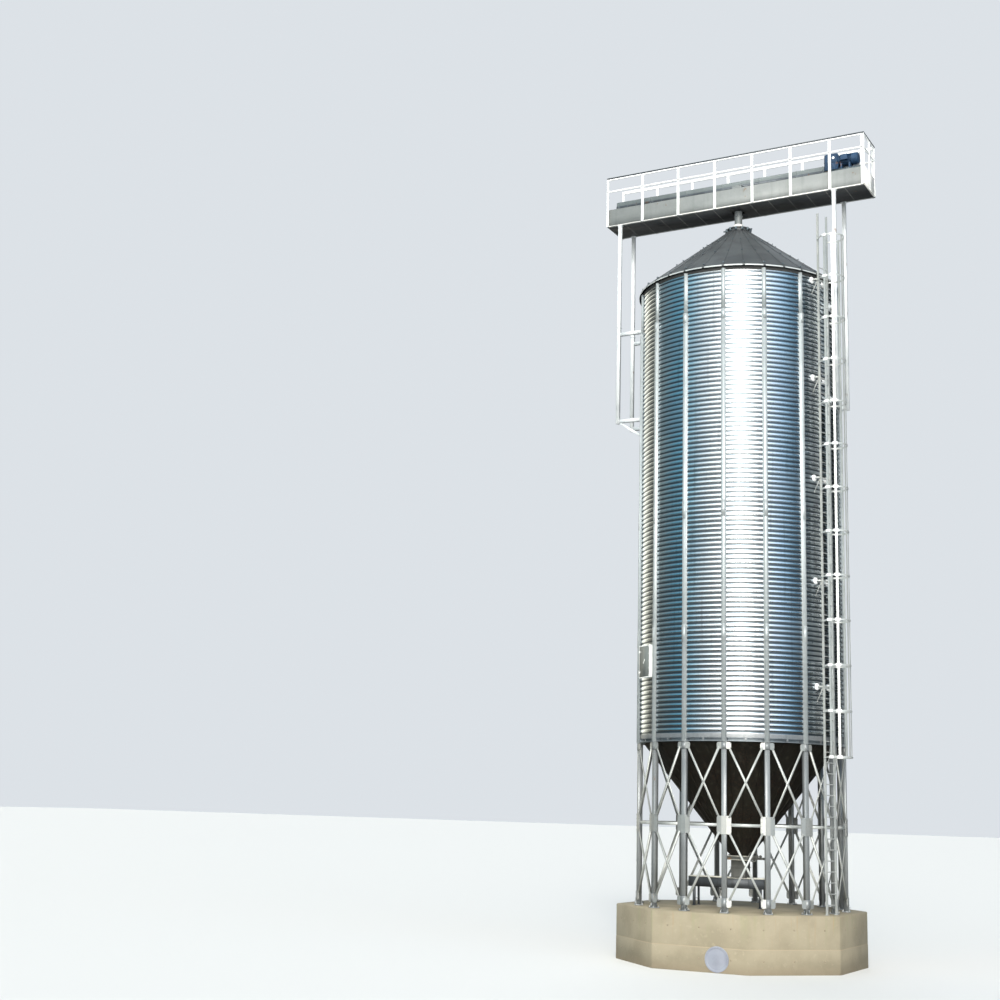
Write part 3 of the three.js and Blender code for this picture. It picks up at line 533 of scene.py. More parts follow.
for side in SIDES:
    leg.append(block(beside(side, LEG_HALF, LEG_HALF + 0.040), span(-(LEG_FACE + LEG_BACK) / 2, 0.004),
                     (seat, seat + 0.11)))
anchors = grid_points((-0.090, 0.090), (-LEG_FACE - 0.03, -LEG_BACK + 0.03), (seat,))
leg_bolts = [bolts(anchors, UP, 0.020, 0.018), bolts(anchors + UP * 0.018, UP, 0.010, 0.028, 8),
             bolt_grid((-0.045, 0.045), (-LEG_FACE,), RING_BOTTOM - np.array([0.36, 0.42, 0.48]),
                       FRONT, 0.011, 0.010)]
for k, a in enumerate(COLUMN_ANGLES):
    put("leg_%02d" % (k + 1), leg, LEG_STEEL, "frame_steel", "column_%02d" % (k + 1), angle=a)
put("leg_bolts", [round_axis(leg_bolts, COLUMN_ANGLES)], BOLT_STEEL, "frame_steel")

# Wall stiffeners: hat sections of galvanised steel in line with the legs, bolted through both side
# flanges to the ridges of the wall. The top length is lighter, and cover plates join the lengths.
RIDGE_PITCH, RIDGE_COUNT, RIDGE_FACE = 0.14, 99, 3.0555
RIDGE_START = WALL_BOTTOM + 0.02
SPLICE_Z = 18.90
JOINT_LEVELS = (9.3, 12.9)


def hat(half, web, depth):
    """The outline of a hat section: flanges out to half, and a raised face of half width web."""
    t = 0.006
    right = np.array([(web - 0.008, depth), (web, depth - 0.008), (web + 0.010, t), (half, t), (half, 0)])
    return np.concatenate([right[::-1] * (-1, 1), right])


HAT_STEEL = steel("stiffener zinc", (0.46, 0.50, 0.51), (0.36, 0.40, 0.41), 0.35, 0.42, 0.05, 0.4, 0.15)
hat_depth = COLUMN_FACE - RIDGE_FACE
joint_y = -COLUMN_FACE + 0.002
stiffener = [upright(0, -RIDGE_FACE, RING_BOTTOM - 0.02, SPLICE_Z, hat(0.075, 0.046, hat_depth)),
             upright(0, -RIDGE_FACE, SPLICE_Z, EAVE - 0.06, hat(0.065, 0.034, hat_depth - 0.018)),
             upright(0, joint_y, SPLICE_Z - 0.30, SPLICE_Z + 0.02, rectangle(0.05, 0, 0.005))]
stiffener += [upright(0, joint_y, z - 0.25, z + 0.25, rectangle(0.052, 0, 0.005)) for z in JOINT_LEVELS]
ridge_levels = RIDGE_START + (np.arange(RIDGE_COUNT - 1) + 0.5) * RIDGE_PITCH
joint_levels = np.concatenate([np.arange(z - 0.20, z + 0.21, 0.08) for z in JOINT_LEVELS])
hat_bolts = [bolt_grid((-0.0625, 0.0625), (-RIDGE_FACE - 0.006,), ridge_levels, FRONT, 0.012, 0.010),
             bolt_grid((-0.03, 0.03), (-COLUMN_FACE - 0.003,), joint_levels, FRONT, 0.011, 0.009)]
for k, a in enumerate(COLUMN_ANGLES):
    put("stiffener_%02d" % (k + 1), stiffener, HAT_STEEL, "frame_steel", angle=a)
put("stiffener_bolts", [round_axis(hat_bolts, COLUMN_ANGLES)], BOLT_STEEL, "frame_steel")

# Bracing: crossed angle irons in two tiers with a strut between them in every bay. They are bolted
# to gussets on the legs' faces, plates bent twice so that their wings lie in line with the bays.
QUARTERS = ("right_front", "right_rear", "left_rear", "left_front")
BRACE_WIDTH, STRUT_WIDTH, BRACE_LEG, BRACE_INSET, BRACE_LAP = 0.060, 0.085, 0.040, 0.140, 0.060
GUSSET_PLATE, GUSSET_FOLD, GUSSET_REACH, GUSSET_CORNER = 0.012, 0.070, 0.205, 0.035
STRIP_PLATE = 0.004
STRUT_Z = WALL_BOTTOM - 2.41
GUSSETS = ((PLINTH_TOP + 0.16, PLINTH_TOP + 0.40), span(STRUT_Z, 0.25),
           (WALL_BOTTOM - 0.32, WALL_BOTTOM - 0.13))
GUSSET_SEAT = LEG_FACE + FIT
COVER_Y = -GUSSET_SEAT - GUSSET_PLATE
wing_turn = COLUMN_STEP / 2
BRACE_RADIUS = GUSSET_SEAT + GUSSET_FOLD * np.tan(wing_turn) + GUSSET_PLATE / 2 / np.cos(wing_turn)
BRACE_STEEL = steel("bracing zinc", (0.48, 0.50, 0.48), (0.35, 0.36, 0.35), 0.25, 0.45, 0.10, 0.4, 0.2)
GUSSET_STEEL = steel("gusset zinc", (0.32, 0.33, 0.32), (0.25, 0.26, 0.25), 0.40, 0.38, 0.05, 0.3, 0.1)


def angle_iron(half, leg, side):
    """An L outline: a flat flange half to each side, and a leg that stands out at one edge."""
    t = 0.006
    outline = np.array([(-half, 0), (half, 0), (half, t), (t - half, t), (t - half, leg), (-half, leg)])
    return outline * (1, side)


def on_wing(reach, side=1):
    """Where a gusset's wing is at a reach along its plate, as (x, y) from the fold at its back."""
    wing = reach - GUSSET_FOLD
    return side * (GUSSET_FOLD + wing * np.cos(wing_turn)), -GUSSET_SEAT + wing * np.sin(wing_turn)


def bent_plate(low, high):
    """A gusset at the front: its outline in plan is flat over the leg and folds back at both
    sides, and it is carried up from low to high with the outer corners cut."""
    rings, cut = [], GUSSET_CORNER
    for z, reach in ((low, GUSSET_REACH - cut), (low + cut, GUSSET_REACH),
                     (high - cut, GUSSET_REACH), (high, GUSSET_REACH - cut)):
        back = np.array([on_wing(GUSSET_FOLD), on_wing(reach)])
        half = np.concatenate([back, back[::-1] - (0, GUSSET_PLATE)])
        rings.append(at_level(np.concatenate([half, (half * (-1, 1))[::-1]]), z))
    return skin(rings)


def gusset_heads(low, high):
    """The bolts of one gusset: pairs up the leg's face and two rows on both wings. A small gusset
    has its bolts through the leg's outer strip, and only the ends of the rows."""
    small = high - low < 0.3
    levels = np.linspace(low + 0.04, high - 0.04, max(2, int((high - low) / 0.085)))
    heads = [bolt_grid((-0.042, 0.042), (COVER_Y - small * STRIP_PLATE,), levels, FRONT, 0.009, 0.008)]
    for side in SIDES:
        for reach in (0.160, 0.190):
            x, y = on_wing(reach, side)
            rows = levels[::len(levels) - 1] if small else levels
            heads.append(bolt_grid((x,), (y - GUSSET_PLATE,), rows, radial(side * wing_turn), 0.009, 0.008))
    return gather(heads)


def bay_irons(first):
    """One bay's crossed angle irons, one on each face of the wings, its strut and its bolts."""
    from_leg, to_leg = BRACE_RADIUS * radial([first, first + COLUMN_STEP])
    along = (to_leg - from_leg) / np.linalg.norm(to_leg - from_leg)
    normal = np.cross(along, UP)
    start, end = from_leg + along * BRACE_INSET, to_leg - along * BRACE_INSET
    face = normal * GUSSET_PLATE / 2
    irons, heads = [], []
    for tier in (0, 1):
        low, high = GUSSETS[tier][1] - BRACE_LAP, GUSSETS[tier + 1][0] + BRACE_LAP
        for z0, z1, side in ((low, high, 1), (high, low, -1)):
            irons.append(bar(start + UP * z0 + face * side, end + UP * z1 + face * side, normal,
                             angle_iron(BRACE_WIDTH / 2, BRACE_LEG, -1)))
        heads.append(bolts([(start + end) / 2 + UP * (low + high) / 2 + face], normal, 0.012, 0.011))
    irons.append(bar(start + UP * STRUT_Z - face, end + UP * STRUT_Z - face, normal,
                     angle_iron(STRUT_WIDTH / 2, BRACE_LEG, -1)))
    return irons, heads


gussets = [bent_plate(*levels) for levels in GUSSETS]
strips = [block(span(0, LEG_HALF), (COVER_Y - STRIP_PLATE, COVER_Y), GUSSETS[k]) for k in (0, 2)]
heads = [gusset_heads(*levels) for levels in GUSSETS]
for quarter, angles in zip(QUARTERS, COLUMN_ANGLES.reshape(4, 4)):
    bays = [bay_irons(a) for a in angles]
    put("bracing_irons_" + quarter, sum((irons for irons, _ in bays), []), BRACE_STEEL, "frame_steel",
        "bracing_" + quarter)
    put("gussets_" + quarter, [round_axis(gussets, angles)], GUSSET_STEEL, "frame_steel", smooth=8)
    put("leg_strips_" + quarter, [round_axis(strips, angles)], LEG_STEEL, "frame_steel")
    put("bracing_bolts_" + quarter, sum((bolt for _, bolt in bays), []) + [round_axis(heads, angles)],
        LEG_STEEL, "frame_steel")

# Ring girder: a rolled channel that lies on the legs and carries the wall and the hopper. It opens
# outwards, with web plates over every leg and small tabs between them.
RING_OUTER, RING_TOP = RING_HIGH.x, RING_HIGH.z
RING_INNER = RING_OUTER - 0.19
RING_WALL = 0.010
RING_STEEL = steel("ring steel", (0.28, 0.32, 0.35), (0.15, 0.17, 0.19), 0.5, 0.5, 0.3, 0.4)
low, high = RING_BOTTOM + RING_WALL, RING_TOP - RING_WALL
web_face = RING_INNER + RING_WALL
ring = spin([(RING_INNER, RING_BOTTOM), (RING_OUTER, RING_BOTTOM), (RING_OUTER, low), (web_face, low),
             (web_face, high), (RING_OUTER, high), (RING_OUTER, RING_TOP), (RING_INNER, RING_TOP)],
            128, closed=True)
webs = [block(span(x, 0.005), (-RING_OUTER + 0.004, -web_face), (low, high)) for x in (-0.06, 0.06)]
put("ring_channel", [ring, round_axis(webs, COLUMN_ANGLES)], RING_STEEL, "frame_steel", "ring_girder",
    smooth=30)

# Wall: corrugated sheets of galvanised steel, rolled to the silo's curve and bolted together behind
# the stiffeners. Each ridge is broad and each groove narrow, and the grooves and the undersides of
# the ridges are painted dark: painted shade, with some dust.
WALL_INSIDE, RIDGE_DEPTH = 3.030, 0.015
WALL_COLUMNS = 32
SHEET_COURSE = 1.12
SHEET_GAP = 5e-5  # half of the gap between two quarters, in radians


def swept(profile, angles):
    """A part whose profile of (radius, height) points is carried round the axis past angles."""
    profile = np.asarray(profile, float)
    return skin(profile[:, :1] * radial(angles)[:, None] + profile[:, 1:] * UP)


def wall_profile():
    """Up the wall's outside the radius is the ridge's less half the depth times one plus the cosine
    of the ridge's phase, a plain wave in eight steps. Its inside is plain."""
    ridge = np.arange(RIDGE_COUNT * 8) / 8
    radius = RIDGE_FACE - RIDGE_DEPTH * (0.5 + 0.5 * np.cos(2 * np.pi * ridge))
    waves = np.column_stack([radius, RIDGE_START + ridge * RIDGE_PITCH])
    inside = [(RIDGE_FACE, EAVE), (WALL_INSIDE, EAVE), (WALL_INSIDE, WALL_BOTTOM)]
    return np.concatenate([[(RIDGE_FACE, WALL_BOTTOM)], waves, inside])


def wall_finish():
    """Bright zinc: grooves and undersides of the ridges painted dark as painted shade with some dust,
    a tone of its own for each sheet between two stiffeners, stains that run down, and fine scratches."""
    f = Finish("corrugated zinc", 1.0)
    x, y, z = f.place("X"), f.place("Y"), f.place("Z")
    phase = ((z - RIDGE_START) / RIDGE_PITCH).math("FRACT")
    # The dark band round each groove is painted shade, with some dust in it.
    groove_shade_and_dust = f.ramp((phase - 0.46).math("ABSOLUTE") * 2.0, 0.48, 0.70)
    cloud, run = f.noise(0.9, 4.0), f.noise(4.5, 3.0, (1.8, 1.8, 0.07))
    sheet = (x.math("ARCTAN2", y * -1.0) / COLUMN_STEP + 0.5).math("FLOOR")
    course = ((z - WALL_BOTTOM) / SHEET_COURSE).math("FLOOR")
    tone = f.node("TexWhiteNoise", {"noise_dimensions": "2D"},
                  Vector=f.node("CombineXYZ", None, sheet, course, 0.0))
    colour = f.blend((0.84, 0.90, 0.94), (0.70, 0.76, 0.82), tone * 0.8)
    colour = f.blend(colour, (0.84, 0.85, 0.86), f.ramp(cloud, 0.50, 0.75) * 0.5)
    colour = f.blend(colour, (0.40, 0.42, 0.43), f.ramp(run, 0.55, 0.75) * 0.45)
    colour = f.blend(colour, (0.030, 0.046, 0.060), groove_shade_and_dust * 0.92)
    f.feed(Base_Color=colour, Metallic=groove_shade_and_dust * -0.08 + 1.0,
           Roughness=cloud * 0.08 + tone * 0.05 + groove_shade_and_dust * 0.06 + 0.19)
    f.bump(f.noise(30.0, 3.0), 0.002, 0.4)
    return f


WALL_ZINC = wall_finish()
sheet_angles = np.linspace(SHEET_GAP, 4 * COLUMN_STEP - SHEET_GAP, WALL_COLUMNS + 1)
for quarter, first in zip(QUARTERS, COLUMN_ANGLES[::4]):
    put("wall_sheets_" + quarter, [swept(wall_profile(), first + sheet_angles)], WALL_ZINC, "galvanised",
        "wall_" + quarter, smooth=70)

# Foot of the wall: a plain flat band round its lowest edge, bolted through, with a small drain tab
# hanging from it in the middle of each bay.
BAND_STEEL = steel("band zinc", (0.20, 0.21, 0.22), (0.14, 0.155, 0.16), 0.4, 0.42, 0.15, 0.5, 0.2)
BAND_BACK, BAND_FACE, BAND_HEIGHT = 3.044, 3.0600, 0.12
band = spin([(radius, WALL_BOTTOM + z) for radius, z in (
    (BAND_BACK, 0.002), (BAND_FACE, 0.002), (BAND_FACE, BAND_HEIGHT - 0.006), (3.0570, BAND_HEIGHT),
    (BAND_BACK, BAND_HEIGHT))], 128, closed=True)
tab = [block(span(0, 0.03), (-3.056, -3.050), (RING_BOTTOM + 0.02, WALL_BOTTOM + 0.01)),
       bolts([(0, -3.056, RING_BOTTOM + 0.05)], FRONT, 0.010, 0.008)]
out = radial(np.arange(96) * 2 * np.pi / 96 + 0.01)
put("wall_foot_band", [band, round_axis(tab, COLUMN_ANGLES + COLUMN_STEP / 2),
                       bolts(3.0595 * out + UP * (WALL_BOTTOM + 0.06), out, 0.011, 0.008)],
    BAND_STEEL, "galvanised", smooth=30)

# Inspection hatch: a box frame of folded sheet on the wall, shut by a flat pressed lid that hangs
# on two hinges at its left. A short slanting handle in its middle turns the latch. Its one paint is
# drawn as a lit white copy on the frame, rim and sides and a shaded grey copy on the lid's face.
HATCH_ANGLE = np.radians(-42.0)
HATCH_Z = WALL_BOTTOM + 2.240
LID_BACK, LID_FACE, LID_HALF, LID_RISE = 3.140, 3.175, 0.360, 0.478
FRAME_INSET, FRAME_WIDTH = 0.015, 0.040
# White for the frame and lid and dark grey for the lid's face: lit and shaded copies of one paint, painted
# light and painted shade.
HATCH_LIT_WHITE = steel("hatch white, lit copy", (0.86, 0.87, 0.84), (0.70, 0.71, 0.68), 0.05, 0.5, 0.05, 0.3)
HATCH_SHADED_GREY = steel("hatch grey, shaded copy", (0.155, 0.172, 0.165), (0.125, 0.140, 0.135), 0.05, 0.5, 0.05, 0.3)
half, rise = LID_HALF - FRAME_INSET, LID_RISE - FRAME_INSET
depth = (-LID_BACK + 0.001, -3.040)
hatch = []
for side in SIDES:
    rail = beside(side, rise - FRAME_WIDTH, rise)
    hatch.append(block(span(0, half), depth, (HATCH_Z + rail[0], HATCH_Z + rail[1])))
    hatch.append(block(beside(side, half - FRAME_WIDTH, half), depth, span(HATCH_Z, rise - FRAME_WIDTH)))
lid = []
for inset, distance in ((0, LID_BACK), (0, LID_FACE - 0.005), (0.006, LID_FACE), (0.022, LID_FACE),
                        (0.027, LID_FACE - 0.003)):
    outline = rectangle(LID_HALF - inset, inset - LID_RISE, LID_RISE - inset, 0.008)
    lid.append(np.column_stack([outline[:, 0], np.full(8, -distance), HATCH_Z + outline[:, 1]]))
hatch.append(skin(lid))
for z in span(HATCH_Z, 0.30):
    hinge = 0.004 - LID_HALF
    hatch += [block((hinge, 0.10 - LID_HALF), (-LID_FACE - 0.004, -LID_FACE), span(z, 0.022)),
              spin([(0.009, -0.045), (0.009, 0.045)], 10, (hinge, -LID_FACE, z))]
handle = np.array([(x, -LID_FACE, HATCH_Z + z) for x, z in ((-0.045, -0.05), (0.045, 0.05))])
hatch += [bar(*(handle + FRONT * 0.008), FRONT, rectangle(0.007, -0.006, 0.006)),
          bolts(handle, FRONT, 0.012, 0.006, 10),
          bolt_grid((LID_HALF - 0.05,), (-LID_FACE + 0.003,), HATCH_Z + np.linspace(-0.42, 0.42, 5),
                    FRONT, 0.010, 0.008)]
put("hatch_frame_and_lid", hatch, HATCH_LIT_WHITE, "frame_steel", "inspection_hatch", smooth=30,
    angle=HATCH_ANGLE)
# A thin dark grey sheet over the lid's face: painted shade.
put("hatch_face_shaded_copy", [block(span(0, LID_HALF - 0.028), (-LID_FACE + 0.0005, -LID_FACE + 0.004),
                         span(HATCH_Z, LID_RISE - 0.028))], HATCH_SHADED_GREY, "frame_steel", angle=HATCH_ANGLE)

# Hopper: a cone of rolled sheets whose edges are turned up into standing seams, hung from the ring
# and ending in a flange. Its steel is dull, with brown runs and rust, and painted near-black as the
# painted shade under the wall.
HOPPER_LOW, HOPPER_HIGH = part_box("hopper")
OUTLET_RADIUS, HOPPER_WALL = 0.300, 0.006
PANELS, SEAM_HEIGHT = 32, 0.016
SEAM_SAMPLES = np.array([(0.0, 1.0), (0.022, 1.0), (0.045, 0.0), (0.28, 0.0), (0.5, 0.0),
                         (0.72, 0.0), (0.955, 0.0), (0.978, 1.0)])


def seamed_cone(outside, inside):
    """A closed shell round the axis from rows of (radius, height, seam share). Near every panel's
    edge the outside is pushed out, square to the cone, by the seam's height times its share."""
    rows = np.array(outside + inside, float)
    raised = rows[:, 2:] * np.tile(SEAM_SAMPLES[:, 1], PANELS) * SEAM_HEIGHT
    a = (np.arange(PANELS)[:, None] + SEAM_SAMPLES[:, 0]).ravel() * 2 * np.pi / PANELS + COLUMN_STEP / 2
    run, climb, _ = rows[len(outside) - 2] - rows[1]
    slant = np.hypot(run, climb)
    radius = rows[:, :1] + raised * climb / slant
    z = rows[:, 1:2] - raised * run / slant
    return skin(radius[..., None] * radial(a) + z[..., None] * UP, closed=True)


def hopper_shaded_finish():
    """Near-black sheet, painted shade under the wall, with brown-olive runs down it and rust patches."""
    f = Finish("hopper sheet with painted shade", 0.3)
    cloud, fine, run = f.noise(1.6, 5.0), f.noise(24.0, 3.0), f.noise(5.0, 4.0, (1.5, 1.5, 0.12))
    # The near-black base colour is painted shade; the runs and the rust are the sheet's own.
    colour = f.blend((0.014, 0.013, 0.009), (0.007, 0.006, 0.005), f.ramp(cloud, 0.35, 0.65))
    colour = f.blend(colour, (0.050, 0.047, 0.036), f.ramp(run, 0.52, 0.72) * 0.5)
    colour = f.blend(colour, (0.050, 0.028, 0.014), f.ramp(fine + cloud * 0.3, 0.68, 0.80) * 0.5)
    f.feed(Base_Color=colour, Roughness=cloud * 0.2 + fine * 0.1 + 0.42)
    f.bump(fine, 0.002, 0.5)
    return f


HOPPER_SHADED_SHEET = hopper_shaded_finish()
outlet, waist, top = HOPPER_LOW.z, RING_BOTTOM - 0.02, HOPPER_HIGH.z
radius, bore = HOPPER_HIGH.x, OUTLET_RADIUS - HOPPER_WALL
outside = [(OUTLET_RADIUS, outlet, 0), (OUTLET_RADIUS, outlet + 0.021, 0)]
outside += [(OUTLET_RADIUS + (radius - 0.018 - OUTLET_RADIUS) * share,
             outlet + 0.02 + (waist - outlet - 0.02) * share, 1) for share in (0.03, 0.25, 0.5, 0.75, 0.97)]
outside += [(radius, waist + 0.006, 0), (radius, top, 0)]
inside = [(radius - HOPPER_WALL, top, 0), (radius - HOPPER_WALL - 0.004, waist, 0),
          (bore, outlet + 0.02, 0), (bore, outlet, 0)]
put("hopper_cone", [seamed_cone(outside, inside)], HOPPER_SHADED_SHEET, "hopper_steel", "hopper", smooth=25)
flange = np.array([(-0.004, 0), (0.058, 0), (0.060, 0.002), (0.060, 0.020), (-0.004, 0.020)])
circle = radial(np.arange(16) * np.pi / 8 - 0.1) * (OUTLET_RADIUS + 0.035)
put("hopper_flange", [spin(flange + (OUTLET_RADIUS, 0), 48, closed=True),
                      bolts(circle + UP * 0.020, UP, 0.014, 0.012)],
    HOPPER_SHADED_SHEET, "hopper_steel", smooth=30, at=UP * outlet)

# Outlet gate: a slide between two flanged frames under the hopper. A shaft with pinions and a chain
# wheel moves it along two racks, and a square spout leads down to the conveyor.
GATE_LOW, GATE_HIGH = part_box("outlet_gate")
GATE_SEAT = UP * GATE_HIGH.z  # heights on the gate count from its top
GATE_HALF, SPOUT_HALF, RACK_Y = 0.380, 0.217, 0.210
SHAFT_X, SHAFT_Z = GATE_HALF + 0.16, -0.012
BACKWARDS = (0, 1, 0)
GATE_STEEL = steel("gate zinc", (0.115, 0.115, 0.105), (0.055, 0.055, 0.050), 0.3, 0.5, 0.35, 0.4)
# Pale cream for the gate's frames and the trough's lid, far lighter than the dark bodies under them.
CREAM_STEEL = steel("pale cream steel", (0.75, 0.74, 0.66), (0.52, 0.50, 0.42), 0.1, 0.55, 0.2, 0.3)


def frame_ring(half, width, low, high):
    """A square frame round the axis: its outside is half to each side, its bars are width wide."""
    corners = np.array([(-1, -1), (1, -1), (1, 1), (-1, 1)])
    return skin([at_level(corners * h, z) for h, z in (
        (half, low), (half, high), (half - width, high), (half - width, low))], closed=True)


spout_end, collar_z = GATE_LOW.z - GATE_HIGH.z, 2.70 - GATE_HIGH.z
gate = [frame_ring(GATE_HALF - 0.020, 0.010, -0.110, -0.010),
        frame_ring(SPOUT_HALF, 0.006, spout_end, -0.110),
        frame_ring(SPOUT_HALF + 0.035, 0.040, spout_end, spout_end + 0.010),
        frame_ring(SPOUT_HALF + 0.030, 0.035, collar_z, collar_z + 0.012),
        block((-0.24, GATE_HALF + 0.10), span(0, RACK_Y - 0.03), (-0.070, -0.058)),
        block((GATE_HALF + 0.38, GATE_HALF + 0.42), span(0, 0.23), (-0.095, -0.03), 0.006)]
pinion = [(0.035, -0.018), (0.042, -0.012), (0.042, 0.012), (0.035, 0.018)]
rack_teeth = GATE_HALF - 0.03 + np.arange(22) * 0.02
for y in (-RACK_Y, RACK_Y):
    gate += [block((GATE_HALF - 0.04, GATE_HALF + 0.42), span(y, 0.02), (-0.095, -0.045)),
             bolt_grid(rack_teeth, (y - 0.015,), (-0.047,), BACKWARDS, 0.009, 0.030, 4),
             spin(pinion, 16, (SHAFT_X, y, SHAFT_Z), BACKWARDS)]
wheel = np.array([SHAFT_X, -0.42, SHAFT_Z])
tyre = [(0.120, -0.012), (0.150, -0.016), (0.150, -0.006), (0.140, 0.0), (0.150, 0.006), (0.150, 0.016),
        (0.120, 0.012)]
gate += [spin([(0.014, 0.0), (0.014, 0.72)], 12, wheel, BACKWARDS),
         spin([(0.030, -0.02), (0.030, 0.02)], 12, wheel, BACKWARDS),
         spin(tyre, 24, wheel, BACKWARDS, closed=True)]
for a in np.arange(3) * 2 * np.pi / 3:
    spoke = np.array([np.cos(a), 0.0, np.sin(a)])
    gate.append(bar(wheel + spoke * 0.02, wheel + spoke * 0.125, BACKWARDS, rectangle(0.012, -0.005, 0.005)))
edge, rows = np.linspace(-0.34, 0.34, 7), (-0.355, 0.355)
for z, way in ((-0.012, -UP), (-0.108, UP)):
    gate += [bolt_grid(xs, ys, (z,), way, 0.012, 0.010) for xs, ys in ((edge, rows), (rows, edge))]
put("gate_and_spout", gate, GATE_STEEL, "frame_steel", "outlet_gate", smooth=30, at=GATE_SEAT)
width = GATE_HALF - SPOUT_HALF + 0.005
put("gate_frames", [frame_ring(GATE_HALF, width, z, z + 0.012) for z in (-0.012, -0.120)],
    CREAM_STEEL, "frame_steel", at=GATE_SEAT)

# Discharge conveyor: a low trough of folded sheet in bolted lengths, with a flanged lid, an end
# plate with a bearing at each end, and four angle-iron legs.
TROUGH_LOW, TROUGH_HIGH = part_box("discharge_trough")
TROUGH_LEFT, TROUGH_RIGHT, TROUGH_HALF = TROUGH_LOW.x, TROUGH_HIGH.x, TROUGH_HIGH.y
TROUGH_BOTTOM, TROUGH_TOP = 2.110, TROUGH_HIGH.z
PAD_TOP = PLINTH_TOP + 0.012
TROUGH_STEEL = steel("trough paint", (0.085, 0.095, 0.105), (0.030, 0.032, 0.034), 0.3, 0.5, 0.25, 0.4)
length = (TROUGH_LEFT + 0.01, TROUGH_RIGHT - 0.01)
trough = [block(length, span(0, TROUGH_HALF - 0.02), (TROUGH_BOTTOM, TROUGH_BOTTOM + 0.008))]
for side in SIDES:
    trough.append(block(length, beside(side, TROUGH_HALF - 0.028, TROUGH_HALF - 0.02),
                        (TROUGH_BOTTOM, TROUGH_TOP - 0.016)))
    for x in (TROUGH_LEFT, -0.62, 0.32, TROUGH_RIGHT - 0.012):
        trough.append(block((x, x + 0.012), beside(side, TROUGH_HALF - 0.035, TROUGH_HALF),
                            (TROUGH_BOTTOM, TROUGH_TOP - 0.03)))
bearing = [(0.085, 0.0), (0.085, 0.010), (0.055, 0.014), (0.055, 0.045), (0.022, 0.05), (0.022, 0.09)]
for x, way in ((TROUGH_LEFT + 0.012, -1), (TROUGH_RIGHT - 0.012, 1)):
    trough += [block(span(x, 0.006), span(0, TROUGH_HALF - 0.01), (TROUGH_BOTTOM, TROUGH_TOP - 0.02)),
               spin(bearing, 20, (x, 0.0, TROUGH_BOTTOM + 0.15), (way, 0, 0))]
for x in (TROUGH_LEFT + 0.16, TROUGH_RIGHT - 0.16):
    trough.append(block(span(x, 0.025), span(0, 0.2), (PLINTH_TOP + 0.20, PLINTH_TOP + 0.208)))
    for side in SIDES:
        y = 0.2 * side
        trough += [upright(x, y, PAD_TOP, TROUGH_BOTTOM + 0.02, angle_iron(0.035, 0.07, side)),
                   block(span(x, 0.06), span(y, 0.06), (foot, PAD_TOP)),
                   bolts([(x + 0.04, y, PAD_TOP), (x - 0.045, y + 0.04, PAD_TOP)], UP, 0.012, 0.014)]
put("trough_and_legs", trough, TROUGH_STEEL, "hopper_steel", "discharge_trough")
bolt_x = np.arange(TROUGH_LEFT + 0.08, TROUGH_RIGHT, 0.16)
bolt_x = bolt_x[np.abs(bolt_x) > SPOUT_HALF + 0.033]
trough_lid = [block((TROUGH_LEFT, TROUGH_RIGHT), span(0, TROUGH_HALF), (-0.028, -0.016)),
              bolt_grid(bolt_x, span(0, TROUGH_HALF - 0.014), (0,), UP, 0.010, 0.008)]
for x in ((TROUGH_LEFT + 0.003, -SPOUT_HALF - 0.04), (SPOUT_HALF + 0.04, TROUGH_RIGHT - 0.003)):
    trough_lid.append(block(x, span(0, TROUGH_HALF - 0.004), (-0.015, 0)))
put("trough_lid", trough_lid, CREAM_STEEL, "hopper_steel", at=UP * TROUGH_TOP)

# Roof: thirty-two pressed panels whose edges stand up as seams, with a turned-down lip that catches
# the light, painted much paler than the panels as a painted highlight. Bolted clips hold the seams
# down near the eave and half way up.
ROOF_LOW, ROOF_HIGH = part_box("roof")
ROOF_RADIUS, COLLAR_RADIUS, ROOF_RISE = 3.140, 0.350, 2.150
ROOF_FOOT, ROOF_EDGE_Z = ROOF_LOW.z, ROOF_HIGH.z - ROOF_RISE
ROOF_TAN = ROOF_RISE / (ROOF_RADIUS - COLLAR_RADIUS)
LIP_GAP = 0.012  # half of the gap between two panels' lips, in radians


def roof_finish():
    """Dark grey weathered zinc, duller and dirtier towards the eave, with streaks down the slope."""
    f = Finish("roof zinc", 0.25)
    cloud, fine, run = f.noise(1.3, 4.0), f.noise(26.0, 3.0), f.noise(4.0, 3.0, (1.0, 1.0, 0.35))
    low = 1.0 - f.ramp(f.place("Z"), ROOF_EDGE_Z, ROOF_EDGE_Z + 0.5)
    colour = f.blend((0.080, 0.088, 0.092), (0.056, 0.062, 0.066), f.ramp(cloud, 0.38, 0.68))
    colour = f.blend(colour, (0.050, 0.050, 0.052), f.ramp(run, 0.52, 0.72) * 0.6)
    colour = f.blend(colour, (0.060, 0.068, 0.072), low * 0.5)
    f.feed(Base_Color=colour, Roughness=cloud * 0.14 + fine * 0.08 + 0.42)
    f.bump(fine, 0.002, 0.4)
    return f


def on_roof(r, seam=1.0, below=0.0):
    """The row of a seamed cone that lies on the roof's slope, or below it, at a radius."""
    return r, ROOF_EDGE_Z + (ROOF_RADIUS - r) * ROOF_TAN - below, seam


